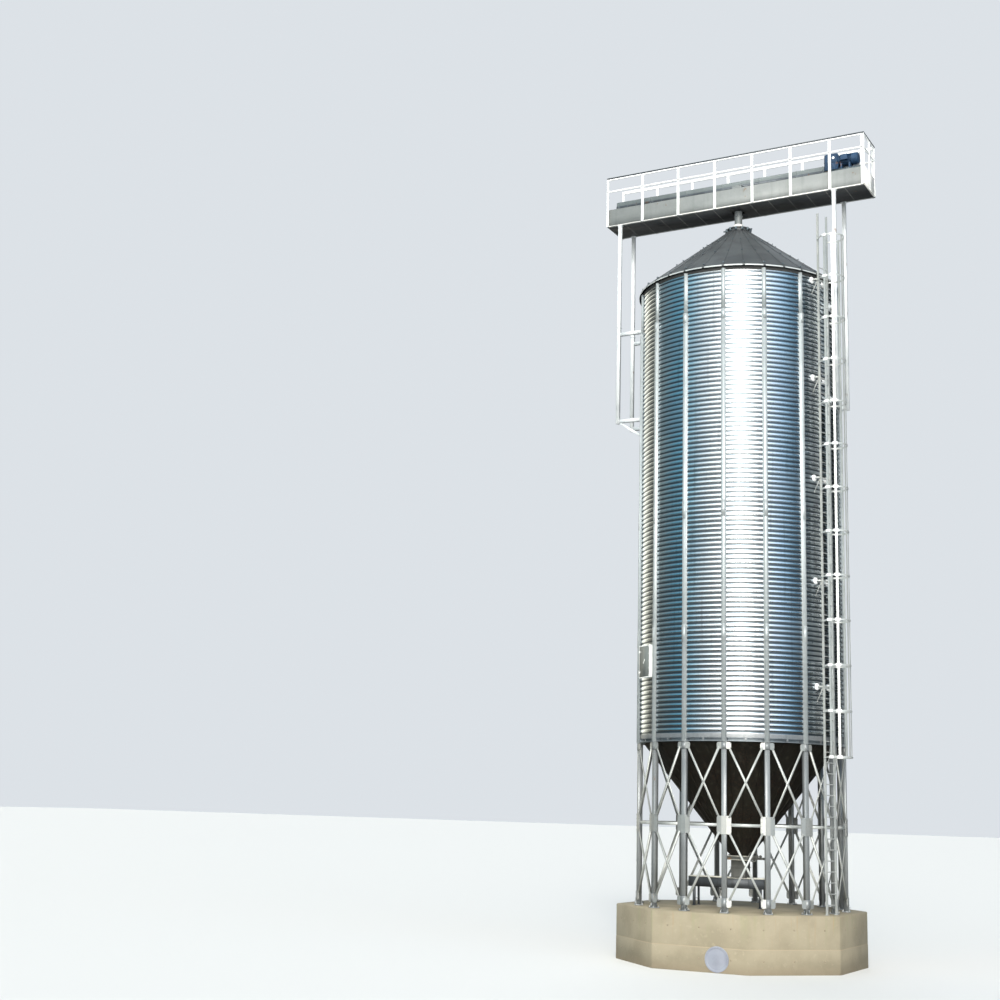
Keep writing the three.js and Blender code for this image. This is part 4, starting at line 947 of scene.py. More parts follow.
ROOF_ZINC = roof_finish()
LIP_HIGHLIGHT_ZINC = steel("lip zinc with painted highlight", (0.52, 0.55, 0.55), (0.36, 0.39, 0.40), 0.2, 0.48, 0.05, 0.3)
DARK_PAINT = steel("dark machine paint", (0.10, 0.13, 0.15), (0.055, 0.07, 0.08), 0.2, 0.5, 0.4)
EAVE_SHADOW_FOAM = steel("closure foam with painted shadow", (0.030, 0.032, 0.032), (0.018, 0.018, 0.018), 0.0, 0.8, 0.0, 0.2)
outside = [(ROOF_RADIUS - 0.006, ROOF_FOOT + 0.004, 0), on_roof(ROOF_RADIUS - 0.012, 0.3)]
outside += [on_roof(r) for r in (3.09, 2.4, 1.7, 1.0, 0.5, 0.375)] + [on_roof(COLLAR_RADIUS, 0.3)]
inside = [(COLLAR_RADIUS - 0.02, on_roof(COLLAR_RADIUS)[1] - 0.02, 0), on_roof(3.06, 0, 0.012),
          (ROOF_RADIUS - 0.016, ROOF_FOOT + 0.004, 0)]
put("roof_panels", [seamed_cone(outside, inside)], ROOF_ZINC, "roof_steel", "roof", smooth=25)
panel_step = 2 * np.pi / PANELS
panel_angles = COLUMN_STEP / 2 + np.arange(PANELS) * panel_step
lip = np.array([(-0.010, -0.006), (0, -0.006), (0.002, 0.024), (-0.02, 0.044), (-0.024, 0.038),
                (-0.008, 0.020)])
# The lip's pale zinc is a painted highlight on the panels' own dark zinc.
lip_part = swept(lip + (ROOF_RADIUS, ROOF_FOOT), np.linspace(LIP_GAP, panel_step - LIP_GAP, 5))
put("eave_lip", [round_axis([lip_part], panel_angles)], LIP_HIGHLIGHT_ZINC, "roof_steel", smooth=30)
slope = np.arctan(ROOF_TAN)
tilt = np.array([0.0, -np.sin(slope), np.cos(slope)])
clips = []
for r, size in ((3.05, 0.030), (2.1, 0.020), (1.2, 0.016)):
    low = np.array([0.0, -r, on_roof(r)[1]]) + tilt * 0.020
    high = low + tilt * 0.022
    clips += [bar(low, high, (1, 0, 0), rectangle(size, -size, size, 0.006)),
              bolts([high], tilt, size * 0.55, 0.018)]
put("roof_clips", [round_axis(clips, panel_angles)], DARK_PAINT, "roof_steel")
# A near-black closure ring round the wall's top under the eave: a real closure, made near-black as the
# painted shadow under the roof's edge.
foam = [(3.045, -0.11), (3.060, -0.11), (3.060, -0.002), (3.045, -0.002)]
put("eave_closure_painted_shadow", [spin(foam, 128, closed=True)], EAVE_SHADOW_FOAM, "roof_steel", smooth=30, at=UP * EAVE)

# Roof cap: a short collar, clamped to the panels' tops by a ring of toggles, and a domed lid with
# the inlet in its middle, two lifting arms and a pale skirt that sheds rain from the pipe.
CAP_LOW, CAP_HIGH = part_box("roof_cap")
CAP_SEAT = UP * CAP_LOW.z  # heights on the cap count from its foot
CAP_TOP, COLLAR_TOP = CAP_HIGH.z - CAP_LOW.z, 0.090
INLET_RADIUS = 0.120
SKIRT_WHITE = steel("rain skirt white", (0.90, 0.88, 0.84), (0.72, 0.70, 0.66), 0.0, 0.5, 0.05, 0.3)
cap = [(COLLAR_RADIUS + r, z) for r, z in (
    (-0.012, 0), (0.018, 0), (0.018, 0.010), (-0.002, 0.012), (-0.002, COLLAR_TOP), (0.030, COLLAR_TOP),
    (0.032, COLLAR_TOP + 0.006), (0.030, COLLAR_TOP + 0.025))]
cap += [(0.30, COLLAR_TOP + 0.052), (0.23, COLLAR_TOP + 0.074), (0.17, CAP_TOP - 0.002),
        (INLET_RADIUS + 0.01, CAP_TOP), (INLET_RADIUS, CAP_TOP - 0.006), (INLET_RADIUS, COLLAR_TOP + 0.04),
        (COLLAR_RADIUS - 0.012, COLLAR_TOP)]
put("cap_lid_and_collar", [spin(cap, 48, closed=True)], ROOF_ZINC, "roof_steel", "roof_cap", smooth=40,
    at=CAP_SEAT)
clamp_y, knob = -COLLAR_RADIUS - 0.050, (0, -COLLAR_RADIUS - 0.10, COLLAR_TOP - 0.005)
barrel = [(0.030, -0.040), (0.040, -0.024), (0.040, 0.024), (0.030, 0.040)]
toggle = [block(span(0, 0.040), (clamp_y, -COLLAR_RADIUS), (0.012, 0.034), 0.008),
          spin(barrel, 12, (0, clamp_y + 0.010, 0.070)),
          block(span(0, 0.020), (clamp_y, -COLLAR_RADIUS + 0.010), (COLLAR_TOP + 0.020, COLLAR_TOP + 0.034))]
arm = [bar((0, -0.30, COLLAR_TOP + 0.06), knob, UP, rectangle(0.012, -0.006, 0.006)),
       spin([(0.020, -0.02), (0.026, -0.012), (0.026, 0.012), (0.020, 0.02)], 12, knob)]
put("cap_toggles", [round_axis(toggle, np.arange(12) * np.pi / 6 + 0.13), round_axis(arm, (-1.25, 1.5))],
    DARK_PAINT, "roof_steel", at=CAP_SEAT)
skirt = np.array([(0.190, -0.030), (0.192, -0.010), (0.180, 0.030), (0.158, 0.075), (0.128, 0.110),
                  (0.1215, 0.112), (0.1215, 0.104), (0.175, -0.030)])
put("cap_rain_skirt", [spin(skirt, 32, closed=True)], SKIRT_WHITE, "roof_steel", smooth=40,
    at=UP * CAP_HIGH.z)

# Ladder: two folded stiles and round rungs on the right of the wall. Pairs of arms with rounded
# heads hold it off the sheets at five levels, each steadied by a thin strut.
LADDER_ANGLE = np.radians(70.0)
LADDER_SEAT = (0, -3.245, 0)  # the ladder is drawn round its own middle line
LADDER_HALF, BRACKET_HALF = 0.215, 0.28
STILE_DEPTH = 0.030  # half of a stile's depth
BRACKET_LEVELS = EAVE - 0.20 - 3.045 * np.arange(5)
FIRST_RUNG, RUNG_STEP = PLINTH_TOP + 0.264, 0.30
LADDER_WHITE = steel("ladder zinc", (0.46, 0.48, 0.47), (0.34, 0.36, 0.36), 0.30, 0.42, 0.12, 0.4, 0.15)
HEAD_WHITE = steel("bracket white", (0.92, 0.93, 0.93), (0.75, 0.77, 0.78), 0.1, 0.45, 0.05, 0.3)
on_ladder = {"angle": LADDER_ANGLE, "at": LADDER_SEAT}
rungs = FIRST_RUNG + RUNG_STEP * np.arange(int((EAVE + 0.40 - FIRST_RUNG) / RUNG_STEP) + 1)
stile = np.array([(-0.020, -0.030), (0.020, -0.030), (0.020, -0.024), (-0.014, -0.024),
                  (-0.014, 0.024), (0.020, 0.024), (0.020, 0.030), (-0.020, 0.030)])
rung = [(0.014, 0.004 - LADDER_HALF), (0.014, LADDER_HALF - 0.004)]
ladder = [spin(rung, 10, (0, 0, z), (1, 0, 0)) for z in rungs]
for side in SIDES:
    x = side * LADDER_HALF
    ladder += [upright(x, 0, foot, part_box("ladder")[1].z, stile * (-side, 1)),
               block(span(x, 0.05), span(0, 0.05), (foot, PAD_TOP))]
    for z in PLINTH_TOP + 3.05 * np.arange(1, 7):
        ladder += [block(span(x, 0.024), (-0.034, -0.028), span(z, 0.11)),
                   bolt_grid((x,), (-0.034,), z + np.array([-0.08, -0.03, 0.03, 0.08]), FRONT, 0.010, 0.008)]
put("ladder_stiles_and_rungs", ladder, LADDER_WHITE, "ladder_steel", "ladder", smooth=40, **on_ladder)
head = [(0.100, 0.0), (0.103, 0.010), (0.095, 0.030), (0.068, 0.048), (0.030, 0.056)]
wall_y = -np.sqrt(RIDGE_FACE ** 2 - BRACKET_HALF ** 2) - LADDER_SEAT[1]
arm_length = (STILE_DEPTH - 0.006, wall_y - 0.01)
arms, heads = [], []
for z in BRACKET_LEVELS:
    arms += [block(span(0, BRACKET_HALF), (STILE_DEPTH - 0.006, STILE_DEPTH + 0.002), span(z, 0.025)),
             block(span(0, BRACKET_HALF), (STILE_DEPTH, STILE_DEPTH + 0.025), (z - 0.025, z - 0.017))]
    for side in SIDES:
        x = side * BRACKET_HALF
        strut_foot = (x, wall_y - 0.008, z - 0.42)
        arms += [block(span(x, 0.025), arm_length, (z - 0.025, z - 0.017)),
                 block(beside(side, BRACKET_HALF + 0.017, BRACKET_HALF + 0.025), arm_length, span(z, 0.025)),
                 bar(strut_foot, (side * LADDER_HALF, STILE_DEPTH, z - 0.03), (0, -1, 0.4),
                     rectangle(0.016, -0.004, 0.004)),
                 bolts([strut_foot], FRONT, 0.020, 0.016)]
        heads += [spin(head, 20, (x, wall_y - 0.001, z), FRONT),
                  bolts([(x, wall_y - 0.052, z)], FRONT, 0.016, 0.014)]
put("ladder_arms", arms, LADDER_WHITE, "ladder_steel", **on_ladder)
put("ladder_heads", heads, HEAD_WHITE, "ladder_steel", smooth=40, **on_ladder)

# Ladder cage: thirteen hoops of flat bar bolted to the stiles, with five upright straps riveted
# inside them. On the two left straps a bright white plate at every hoop is a painted highlight: the
# glint of the hoop where it faces the light.
HOOP_LEVELS = EAVE + 1.08 - 1.287 * np.arange(13)
HOOP_RADIUS, HOOP_HALF, HOOP_BAR = 0.370, 0.025, 0.006
CAGE_CENTRE = FRONT * 0.345
STRAPS, GLINT_STRAPS = (-92, -52, 0, 52, 92), (-92, -52)  # in degrees from the cage's front


def hoop_edge(radius, x):
    """A hoop's edge in plan: an arc from stile to stile and a straight tail at each end."""
    end = np.pi - np.arcsin(x / radius)
    arc = CAGE_CENTRE + radius * radial(np.linspace(-end, end, 33))
    return np.concatenate([[(-x, 0.02)], arc[:, :2], [(x, 0.02)]])


hoop_x = LADDER_HALF + 0.0203
outer, inner = hoop_edge(HOOP_RADIUS, hoop_x + HOOP_BAR), hoop_edge(HOOP_RADIUS - HOOP_BAR, hoop_x)
cage, hoop_glints = [], []
for z in HOOP_LEVELS:
    low, high = span(z, HOOP_HALF)
    cage.append(skin(np.stack([at_level(edge, level) for edge, level in (
        (outer, low), (outer, high), (inner, high), (inner, low))], 1)))
for side in SIDES:
    cage.append(bolt_grid((side * (hoop_x + HOOP_BAR),), (-0.05, 0.005), HOOP_LEVELS,
                          (side, 0, 0), 0.010, 0.008))
for degrees in STRAPS:
    out = radial(np.radians(degrees))
    face = CAGE_CENTRE + out * HOOP_RADIUS
    middle = face - out * 0.012
    cage += [bar(middle + UP * (HOOP_LEVELS[-1] - HOOP_HALF), middle + UP * (HOOP_LEVELS[0] + HOOP_HALF),
                 out, rectangle(0.034, -0.003, 0.003)),
             bolts(face + UP * HOOP_LEVELS[:, None], out, 0.012, 0.008)]
    # Bright plates on these straps at every hoop: painted highlights, the hoops' glints.
    if degrees in GLINT_STRAPS:
        hoop_glints += [bar(face + UP * (z - 0.042), face + UP * (z + 0.042), out,
                       rectangle(0.075, -0.012, 0.008, 0.004)) for z in HOOP_LEVELS]
put("cage_hoops_and_straps", cage, LADDER_WHITE, "ladder_steel", "ladder_cage", smooth=35, **on_ladder)
put("cage_hoop_glints", hoop_glints, HEAD_WHITE, "ladder_steel", **on_ladder)

# Gallery floor: a deep beam of folded sheet along each edge, cross joists between them and deck
# plates on the joists. The beams' faces have a fold along their middle and go blotchy in the rain.
FLOOR_LOW, FLOOR_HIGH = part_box("gallery_floor")
GALLERY_Z = FLOOR_LOW.z
GALLERY = UP * GALLERY_Z  # heights on the gallery count from its underside
GALLERY_LEFT, GALLERY_RIGHT, GALLERY_HALF = FLOOR_LOW.x, FLOOR_HIGH.x, FLOOR_HIGH.y
BEAM_TOP, DECK_TOP, FOLD_Z = FLOOR_HIGH.z - GALLERY_Z, 0.455, 0.32
HOLE_HALF = 0.180
HOLE_X, HOLE_Y = span(0, HOLE_HALF), (-0.150, 0.210)
GALLERY_PAINT = steel("gallery zinc", (0.255, 0.270, 0.265), (0.195, 0.210, 0.205), 0.08, 0.60, 0.25, 0.5,
                      0.1)
UNDER_STEEL = steel("underside steel", (0.34, 0.37, 0.40), (0.20, 0.22, 0.24), 0.3, 0.55, 0.35, 0.3)
BELLY_SHADE_STEEL = steel("belly sheet with grime and painted shade", (0.050, 0.054, 0.058), (0.030, 0.032, 0.034), 0.2, 0.6, 0.1, 0.3)
STRIP_STEEL = steel("grimy strips", (0.17, 0.175, 0.165), (0.06, 0.06, 0.06), 0.1, 0.6, 0.2, 0.8)


def lengthwise(x, outline):
    """Carries a closed outline of (y, z) points along the gallery, from one place to the other."""
    return skin([np.column_stack([np.full(len(outline), place), outline]) for place in x])


def holed(x, y, z, hole_x, hole_y):
    """Four plates that leave a hole between them."""
    return [block((x[0], hole_x[0]), y, z), block((hole_x[1], x[1]), y, z),
            block(hole_x, (y[0], hole_y[0]), z), block(hole_x, (hole_y[1], y[1]), z)]


def folded_beam(side):
    """The cross-section of an edge beam in (y, z): a web whose lower half is joggled out by 10 mm,
    with a flange and a lip at its foot and at its head."""
    t, lip, back = 0.006, 0.025, -0.070
    outline = [(0, 0), (0, FOLD_Z - 0.006), (-0.010, FOLD_Z + 0.004), (-0.010, BEAM_TOP), (back, BEAM_TOP),
               (back, BEAM_TOP - lip), (back + t, BEAM_TOP - lip), (back + t, BEAM_TOP - t),
               (-0.016, BEAM_TOP - t), (-0.016, FOLD_Z), (-t, FOLD_Z - 0.010), (-t, t), (back + t, t),
               (back + t, lip), (back, lip), (back, 0)]
    return (np.array(outline) + (GALLERY_HALF, 0)) * (side, 1)


gallery = (GALLERY_LEFT, GALLERY_RIGHT)
put("gallery_beams", [lengthwise(gallery, folded_beam(side)) for side in SIDES],
    GALLERY_PAINT, "gallery_steel", "gallery_floor", at=GALLERY)
drip_edges = [block(gallery, beside(side, GALLERY_HALF, GALLERY_HALF + 0.0015), (0, 0.030)) for side in SIDES]
put("gallery_drip_edges", drip_edges, SKIRT_WHITE, "gallery_steel", at=GALLERY)
joists = np.arange(GALLERY_LEFT + 0.025, GALLERY_RIGHT, 0.611)
joists = joists[np.abs(joists) > HOLE_HALF + 0.03]
deck_half, belly_half = GALLERY_HALF - 0.018, GALLERY_HALF - 0.071
full, joist_z = span(0, deck_half), DECK_TOP - 0.058
deck = [bar((x, -deck_half, joist_z), (x, deck_half, joist_z), UP, channel(0.025, 0.050, 0.005, 0.012, 0.004))
        for x in joists]
for x0, x1, y in ((GALLERY_LEFT, -1.825, full), (-1.820, -HOLE_HALF, full),
                  (*HOLE_X, (-deck_half, HOLE_Y[0])), (*HOLE_X, (HOLE_Y[1], deck_half)),
                  (HOLE_HALF, 1.925, full), (1.930, GALLERY_RIGHT - 0.002, full)):
    deck.append(block((x0, x1 - 0.003), y, (DECK_TOP - 0.008, DECK_TOP)))
for side in SIDES:
    deck.append(block((GALLERY_LEFT, GALLERY_RIGHT - 0.002),
                      beside(side, deck_half - 0.034, deck_half - 0.004),
                      (DECK_TOP - 0.112, DECK_TOP - 0.106)))
put("gallery_deck_and_joists", deck, UNDER_STEEL, "gallery_steel", at=GALLERY)
# The belly sheets under the floor are near-black: grime and painted shade.
put("gallery_belly_sheets_painted_shade", holed(gallery, span(0, belly_half), (0.001, 0.006), HOLE_X, HOLE_Y),
    BELLY_SHADE_STEEL, "gallery_steel", at=GALLERY)
put("belly_cover_strips", [block(span(x, 0.012), span(0, belly_half), (-0.002, 0.0005)) for x in joists],
    STRIP_STEEL, "gallery_steel", at=GALLERY)

# Guard rails: square posts bolted to the outside of the beams, a round top rail and a round middle
# rail. The front rail turns round the right end, where a plain folded panel closes the floor.
RAIL_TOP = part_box("guard_rail_front")[1].z - GALLERY_Z
MID_RAIL_Z = RAIL_TOP - 0.4875
MID_RAIL = 0.0275  # half of its height
POST_HALF, RAIL_DEPTH = 0.042, 0.045
TOP_RAIL, GRIP = 0.095, 0.047
RAIL_FOOT = RAIL_TOP - TOP_RAIL
RAIL_POSTS = np.concatenate([[GALLERY_RIGHT - 0.025], GALLERY_RIGHT - 1.04 - 1.25 * np.arange(7)])
RAIL_WHITE = steel("rail white", (0.88, 0.89, 0.88), (0.70, 0.72, 0.72), 0.10, 0.45, 0.2, 0.4)
GRIP_DARK = steel("grimy grip", (0.045, 0.055, 0.065), (0.030, 0.034, 0.038), 0.0, 0.6, 0.0, 0.3)
half_depth = RAIL_DEPTH / 2
rail_y = GALLERY_HALF + FIT + half_depth
rail_corner = rail_y + half_depth
post_z = (0.005, RAIL_FOOT + 0.001)
mid_outline = rectangle(half_depth, -MID_RAIL, MID_RAIL, 0.014)
sleeve = rectangle(half_depth + 0.002, -MID_RAIL - 0.002, MID_RAIL + 0.002, 0.014)
grip_outline = rectangle(half_depth + 0.002, TOP_RAIL - GRIP, TOP_RAIL, 0.008)


def rail(x, y, z, outline):
    """A bar along the gallery between two places x, at one y and z."""
    return bar((x[0], y, z), (x[1], y, z), UP, outline)


def end_rail(y, z, outline):
    """A bar across the gallery's right end, from a place y to the rear beam."""
    return bar((end_x + half_depth, y, z), (end_x + half_depth, GALLERY_HALF, z), UP, outline)


def rail_side(side):
    """One long side: rails, posts with capped tops, and the bolts that hold them to the beam. The
    front rails run on to the corner, and their top is left free for the grip."""
    y = side * rail_y
    right, white = (GALLERY_RIGHT + 0.02, TOP_RAIL - GRIP) if side < 0 else (GALLERY_RIGHT, TOP_RAIL)
    parts = [rail((GALLERY_LEFT, right), y, RAIL_FOOT, rectangle(half_depth, 0, white, 0.010)),
             rail((GALLERY_LEFT, right), y, MID_RAIL_Z, mid_outline)]
    for x in RAIL_POSTS:
        ends = max(x - POST_HALF, GALLERY_LEFT), min(x + POST_HALF, GALLERY_RIGHT)
        parts += [block(ends, span(y, half_depth), post_z, 0.005),
                  bolt_grid((sum(ends) / 2,), (side * rail_corner,), (0.06, 0.22, 0.38, 0.53),
                            (0, side, 0), 0.012, 0.010)]
    return parts + [rail(span(x, 0.06), y, MID_RAIL_Z, sleeve) for x in (-2.67, -0.17, 2.33)]


end_x = GALLERY_RIGHT + FIT
end_far = end_x + RAIL_DEPTH
front = rail_side(-1) + [end_rail(-rail_corner + 0.02, MID_RAIL_Z, mid_outline),
                         end_rail(-rail_corner, RAIL_FOOT, rectangle(half_depth, 0, TOP_RAIL - GRIP, 0.010))]
front += [block((end_x, end_far + 0.003), y, post_z, 0.005) for y in (
    span(0, 0.025), (-rail_corner, -rail_corner + RAIL_DEPTH), (GALLERY_HALF - 0.075, GALLERY_HALF))]
put("rail_front", front, RAIL_WHITE, "white_paint", "guard_rail_front", smooth=35, at=GALLERY)
put("rail_rear", rail_side(1), RAIL_WHITE, "white_paint", "guard_rail_rear", smooth=35, at=GALLERY)
put("rail_grips", [rail((GALLERY_LEFT, end_far), -rail_y, RAIL_FOOT, grip_outline),
                   end_rail(-rail_y + half_depth, RAIL_FOOT, grip_outline)],
    GRIP_DARK, "white_paint", at=GALLERY)
panel = [block((end_x + near, end_x + far), (-rail_corner, GALLERY_HALF), z) for near, far, z in (
    (0, 0.004, (0.005, BEAM_TOP)), (0, RAIL_DEPTH, (BEAM_TOP - 0.006, BEAM_TOP)),
    (0, RAIL_DEPTH, (0.005, 0.011)), (0.030, 0.036, (0.005, BEAM_TOP)))]
panel.append(bolt_grid((end_x + 0.036,), np.linspace(-0.58, 0.56, 6), (0.04, BEAM_TOP - 0.035),
                       (1, 0, 0), 0.010, 0.008))
put("end_panel", panel, SKIRT_WHITE, "white_paint", at=GALLERY)

# Filling conveyor: a trough of folded sheet on feet along the rear of the floor. Its lid has a
# flange down both sides, clipped on every 0.3 m, and it ends in a lower box under the drive. A dark
# strip down each side at the flange is painted shadow under it.
CONVEYOR_Y, CONVEYOR_HALF = 0.325, 0.175
CONVEYOR_BOTTOM, CONVEYOR_TOP, FLANGE_Z, HEAD_TOP = 0.620, 1.150, 0.940, 0.920
HEAD_LEFT, HEAD_RIGHT = 2.760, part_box("conveyor_trough")[1].x
DECK_SEAT = DECK_TOP + FIT
CONVEYOR_SEAT = GALLERY + (0, CONVEYOR_Y, 0)  # the conveyor is drawn round its own middle line
CONVEYOR_PAINT = steel("conveyor zinc", (0.240, 0.270, 0.270), (0.180, 0.205, 0.205), 0.15, 0.50, 0.25, 0.4,
                       0.15)
CLIP_AND_SHADOW_DARK = steel("dark clips and painted shadow", (0.16, 0.18, 0.20), (0.08, 0.09, 0.10), 0.4, 0.5, 0.3)


def over(beyond):
    """The pair of places across the conveyor, beyond its sheets by so much on both sides."""
    return span(0, CONVEYOR_HALF + beyond)


def flank(side, near, far):
    """The pair of places between two distances from the conveyor's sheets, on one side of it."""
    return beside(side, CONVEYOR_HALF + near, CONVEYOR_HALF + far)


length = (GALLERY_LEFT + 0.002, HEAD_LEFT)
body = [(0, CONVEYOR_BOTTOM), (0, FLANGE_Z - 0.004), (0.022, FLANGE_Z - 0.004), (0.022, FLANGE_Z)]
lid = [(0.025, FLANGE_Z + 0.002), (0.025, FLANGE_Z + 0.020), (0, FLANGE_Z + 0.020),
       (0, CONVEYOR_TOP - 0.020), (-0.020, CONVEYOR_TOP - 0.004)]
conveyor = []
for right, ridge in ((body, []), (lid, [(0, CONVEYOR_TOP)])):
    right = np.array(right) + (CONVEYOR_HALF, 0)
    outline = [*right, *ridge, *(right[::-1] * (-1, 1))]
    conveyor.append(lengthwise(length, outline))
for x in (-3.10, -1.85, -0.60, 0.65, 1.90, HEAD_LEFT - 0.02):
    conveyor += [block(span(x, 0.010), flank(side, 0, 0.030), (CONVEYOR_BOTTOM, FLANGE_Z - 0.006))
                 for side in SIDES]
    conveyor.append(block(span(x, 0.012), over(0.006), (FLANGE_Z + 0.022, CONVEYOR_TOP - 0.006)))
head_x = (HEAD_LEFT - 0.005, HEAD_RIGHT)
conveyor += [block(head_x, over(0.016), (CONVEYOR_BOTTOM - 0.06, HEAD_TOP - 0.012), 0.008),
             block(head_x, over(0.020), (HEAD_TOP - 0.012, HEAD_TOP), 0.004),
             block((HEAD_LEFT + 0.35, HEAD_LEFT + 0.80), flank(-1, 0.014, 0.024),
                   (CONVEYOR_BOTTOM + 0.02, HEAD_TOP - 0.05), 0.004)]
for x in [*(RAIL_POSTS[2:] - 0.02), HEAD_LEFT + 0.18, HEAD_RIGHT - 0.17]:
    for y in over(-0.04):
        conveyor += [upright(x, y, DECK_SEAT, CONVEYOR_BOTTOM + 0.004, angle_iron(0.030, 0.05, 1)),
                     block(span(x, 0.045), span(y, 0.045), (DECK_SEAT, DECK_TOP + 0.008))]
    conveyor.append(block(span(x, 0.030), over(0.01), (CONVEYOR_BOTTOM - 0.04, CONVEYOR_BOTTOM + 0.001)))
put("conveyor_trough_and_lid", conveyor, CONVEYOR_PAINT, "gallery_steel", "conveyor_trough", at=CONVEYOR_SEAT)
clips = []
for side in SIDES:
    clips += [block(span(x, 0.016), flank(side, 0.021, 0.039), (FLANGE_Z - 0.030, FLANGE_Z + 0.034), 0.003)
              for x in np.arange(length[0] + 0.10, HEAD_LEFT, 0.305)]
    # A dark strip the trough's length along each side at the flange: painted shadow under the lid's flange.
    clips.append(block(length, flank(side, 0, 0.0265), (FLANGE_Z - 0.034, FLANGE_Z + 0.050)))
put("conveyor_clips_and_painted_shadow", clips, CLIP_AND_SHADOW_DARK, "gallery_steel", at=CONVEYOR_SEAT)

# Conveyor drive: a gear case of ribbed castings and a finned motor lying along the conveyor, both
# on one bed. A coupling guard joins them, and the fan cowl is at the motor's right end.
DRIVE_LOW, DRIVE_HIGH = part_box("conveyor_drive")
DRIVE_SEAT = (HEAD_LEFT, CONVEYOR_Y, DRIVE_LOW.z)  # the drive is drawn from the head's left end
CASE_LEFT, CASE_RIGHT, CASE_TOP = 0.02, 0.46, DRIVE_HIGH.z - DRIVE_LOW.z
MOTOR_RADIUS, MOTOR_X, MOTOR_Z = 0.190, 0.44, 0.380
MACHINE_BLUE = steel("machine blue-grey", (0.020, 0.058, 0.125), (0.013, 0.036, 0.075), 0.15, 0.46, 0.25,
                     0.3)
drive = [block((CASE_LEFT + inset, CASE_RIGHT - inset), span(0, half), z, soft) for inset, half, z, soft in (
    (0, 0.19, (0.06, CASE_TOP - 0.03), 0.03), (0.03, 0.16, (CASE_TOP - 0.03, CASE_TOP), 0.03),
    (0, 0.205, (0.30, 0.33), 0.02))]
drive += [block(span(x, 0.008), span(0, 0.202), (0.08, CASE_TOP - 0.06))
          for x in np.linspace(CASE_LEFT + 0.06, CASE_RIGHT - 0.06, 5)]
cover = [(0.09, 0.0), (0.09, 0.015), (0.05, 0.020), (0.05, 0.035)]
motor = [(0.11, 0.0), (0.15, 0.02), (0.15, 0.05), (0.165, 0.06), (0.165, 0.44), (0.178, 0.445),
         (MOTOR_RADIUS, 0.452), (MOTOR_RADIUS, 0.60), (MOTOR_RADIUS - 0.03, 0.638), (0.06, 0.640)]
seam_x = np.linspace(CASE_LEFT + 0.04, CASE_RIGHT - 0.04, 4)
drive += [bolt_grid(seam_x, span(0, 0.197), (0.33,), UP, 0.012, 0.012),
          spin(cover, 24, (CASE_LEFT + 0.22, -0.19, 0.20), FRONT),
          spin(motor, 36, (MOTOR_X, 0, MOTOR_Z), (1, 0, 0)),
          block((MOTOR_X + 0.12, MOTOR_X + 0.34), (-0.255, -0.15), (MOTOR_Z - 0.07, MOTOR_Z + 0.10), 0.01)]
for a in np.arange(28) * 2 * np.pi / 28:
    out = np.array([0.0, np.cos(a), np.sin(a)])
    fin = out * 0.160 + (MOTOR_X, 0, MOTOR_Z)
    drive.append(bar(fin + (0.07, 0, 0), fin + (0.43, 0, 0), out, rectangle(0.003, 0, 0.026)))
drive += [block(span(x, 0.03), span(0, 0.16), (0.06, MOTOR_Z - 0.14), 0.005)
          for x in (MOTOR_X + 0.12, MOTOR_X + 0.38)]
put("gear_case_and_motor", drive, MACHINE_BLUE, "machine_paint", "conveyor_drive", smooth=30, at=DRIVE_SEAT)
bed_end = HEAD_RIGHT - HEAD_LEFT - 0.06
bed = [block((CASE_LEFT, bed_end), beside(side, 0.10, 0.16), (0, 0.06)) for side in SIDES]
bed += [block((x, x + 0.06), span(0, 0.10), (0, 0.05)) for x in (CASE_LEFT + 0.02, 0.5, bed_end - 0.08)]
bed.append(bolt_grid((CASE_LEFT + 0.05, CASE_RIGHT - 0.04, MOTOR_X + 0.20, MOTOR_X + 0.46), span(0, 0.175),
                     (0.001,), UP, 0.014, 0.03))
put("drive_bed", bed, DARK_PAINT, "machine_paint", at=DRIVE_SEAT)
sight_cover = spin([(0.045, 0.0), (0.045, 0.004), (0.040, 0.007)], 20,
                   (CASE_LEFT + 0.30, -0.203, 0.44), FRONT)
put("gear_case_sight_cover", [sight_cover], HEAD_WHITE, "machine_paint", at=DRIVE_SEAT)

# Drop pipe: a spout box on the trough's front leads grain into a round pipe that goes down through
# the floor to the roof cap. Its flanges are bolted, and a clamp ring joins its two lengths.
PIPE_END, CLAMP_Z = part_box("drop_pipe")[0].z - GALLERY_Z, 22.99 - GALLERY_Z
PIPE_RADIUS, PIPE_WALL, BOX_HALF = 0.120, 0.006, 0.160
PIPE_STEEL = steel("pipe zinc", (0.26, 0.28, 0.28), (0.17, 0.18, 0.19), 0.3, 0.5, 0.3, 0.5)
box_foot, box_top = box_z = (DECK_TOP + 0.020, CONVEYOR_BOTTOM + 0.25)
box_back, inside = CONVEYOR_Y - CONVEYOR_HALF - FIT, BOX_HALF - PIPE_WALL
tube = [(-PIPE_WALL, PIPE_END), (0.045, PIPE_END), (0.045, PIPE_END + 0.012), (0, PIPE_END + 0.014),
        (0, box_foot), (-PIPE_WALL, box_foot)]
clamp = [(-0.002, CLAMP_Z - 0.03), (0.010, CLAMP_Z - 0.025), (0.016, CLAMP_Z), (0.010, CLAMP_Z + 0.025),
         (-0.002, CLAMP_Z + 0.03)]
circle = radial(np.arange(8) * np.pi / 4 + 0.2) * (PIPE_RADIUS + 0.025)
pipe = [spin(np.add(profile, (PIPE_RADIUS, 0)), 32, closed=True) for profile in (tube, clamp)]
pipe += holed(span(0, 0.190), (-0.170, 0.220), (DECK_SEAT, DECK_SEAT + 0.004), *[span(0, PIPE_RADIUS)] * 2)
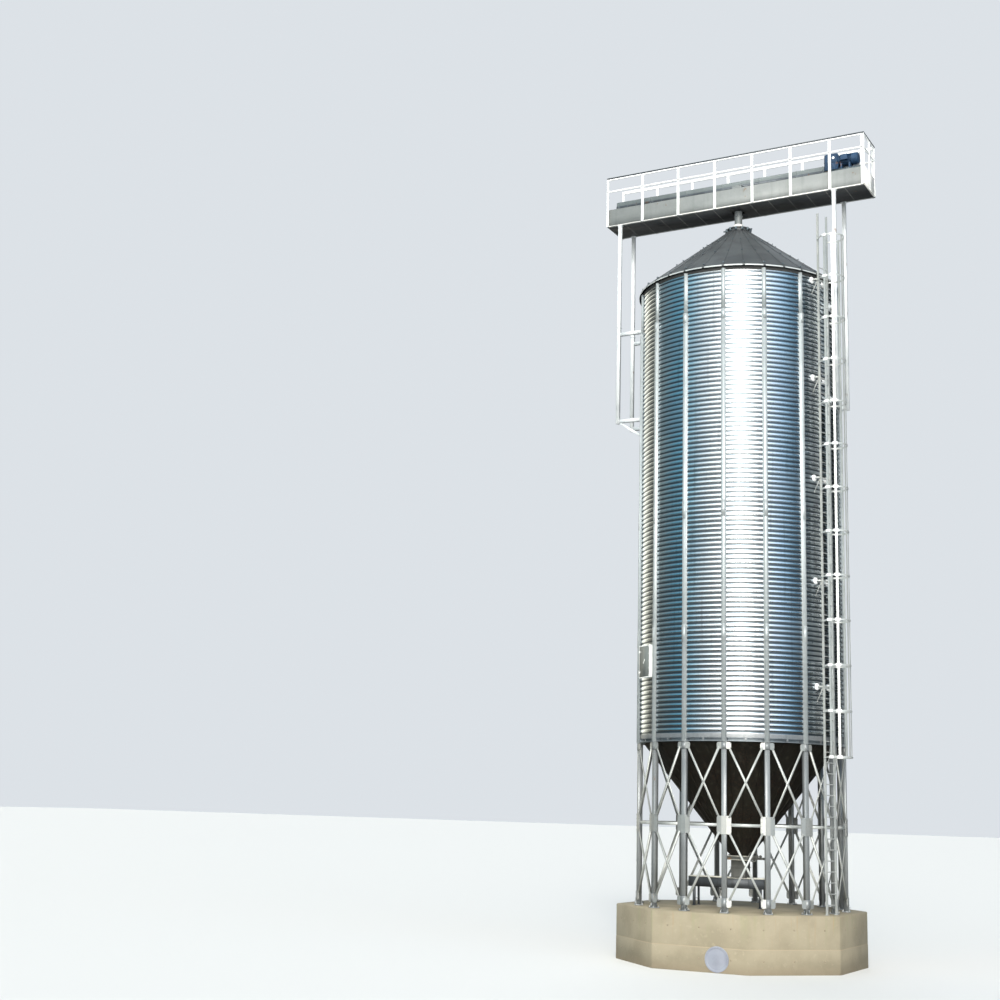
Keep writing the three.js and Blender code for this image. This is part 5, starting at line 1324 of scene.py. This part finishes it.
pipe += [block(span(0, 0.022), (-PIPE_RADIUS - 0.05, -PIPE_RADIUS - 0.008), span(CLAMP_Z, 0.02), 0.004),
         bolts(circle + UP * (PIPE_END + 0.012), UP, 0.010, 0.010),
         block(span(0, BOX_HALF), (-BOX_HALF, -inside), box_z),
         block((-BOX_HALF, -inside), (-inside, box_back), box_z),
         block((inside, BOX_HALF), (-inside, box_back), box_z),
         block(span(0, BOX_HALF), (-BOX_HALF, box_back), (box_top, box_top + PIPE_WALL)),
         block(span(0, 0.166), (-0.166, box_back), (box_top - 0.012, box_top + 0.0005)),
         block(span(0, 0.10), (-0.168, -BOX_HALF), (box_foot + 0.10, box_top - 0.06), 0.01),
         bolt_grid((-0.085, 0.0, 0.085), (-0.168,), (box_foot + 0.115, box_top - 0.075), FRONT, 0.009, 0.008)]
put("pipe_and_spout_box", pipe, PIPE_STEEL, "gallery_steel", "drop_pipe", smooth=30, at=GALLERY)

# Gallery posts: square tubes from brackets on the wall's stiffeners up to the beams, two at each
# end of the bay. Each arm ends in a bolted plate, and the longer left arms have a sloping prop.
POST_TUBE = 0.055  # half of the tube's width
POST_FOOT = -6.74  # below the gallery
POST_WHITE = steel("post paint", (0.74, 0.77, 0.78), (0.50, 0.54, 0.56), 0.15, 0.48, 0.3, 0.5)


def gallery_post(x, side):
    """One post with its head and splice plates, two arms with bolted plates, and on the left a
    prop under the lower arm. It hangs on the stiffener that is beside it."""
    y, way = side * (GALLERY_HALF - POST_TUBE), np.sign(x)
    wall_x = way * np.sqrt(COLUMN_FACE ** 2 - y ** 2)
    arm_x = sorted((wall_x - way * 0.004, x))
    plate_x = sorted((wall_x - way * 0.02, wall_x + way * 0.014))
    outer_x = wall_x + way * 0.014
    tube = rectangle(POST_TUBE, -POST_TUBE, POST_TUBE, 0.008)
    parts = [bar((x, y, POST_FOOT), (x, y, -0.0153), (0, side, 0), tube),
             block(span(x, 0.09), span(y, POST_TUBE), (-0.0153, -FIT))]
    for z in (POST_FOOT + 3.2, POST_FOOT + 3.213):
        parts.append(block(span(x, 0.07), span(y, 0.068), (z, z + 0.012)))
    for z in (POST_FOOT + 0.02, POST_FOOT + 2.93):
        parts += [rail(arm_x, y, z + 0.055, channel(0.045, 0.110, 0.006, 0.02) - (0, 0.055)),
                  block(plate_x, span(y, 0.075), (z - 0.045, z + 0.155)),
                  bolt_grid((outer_x,), span(y, 0.058), (z - 0.025, z + 0.135), (way, 0, 0), 0.012, 0.012),
                  bolt_grid(span(x, 0.03), (y + side * POST_TUBE,), (z + 0.03, z + 0.08), (0, side, 0),
                            0.012, 0.010)]
    if way < 0:
        parts += [bar((wall_x + 0.02, y, POST_FOOT - 0.48), (x, y, POST_FOOT + 0.075), BACKWARDS,
                      rectangle(0.035, -0.030, 0.030, 0.006)),
                  block((wall_x - 0.012, wall_x + 0.02), span(y, 0.07), (POST_FOOT - 0.58, POST_FOOT - 0.39))]
    return parts


for end, post_x in (("right", 3.276), ("left", -3.884)):
    for row, side in (("front", -1), ("rear", 1)):
        put(f"post_{end}_{row}", gallery_post(post_x, side), POST_WHITE, "gallery_steel",
            f"gallery_post_{end}_{row}", at=GALLERY)
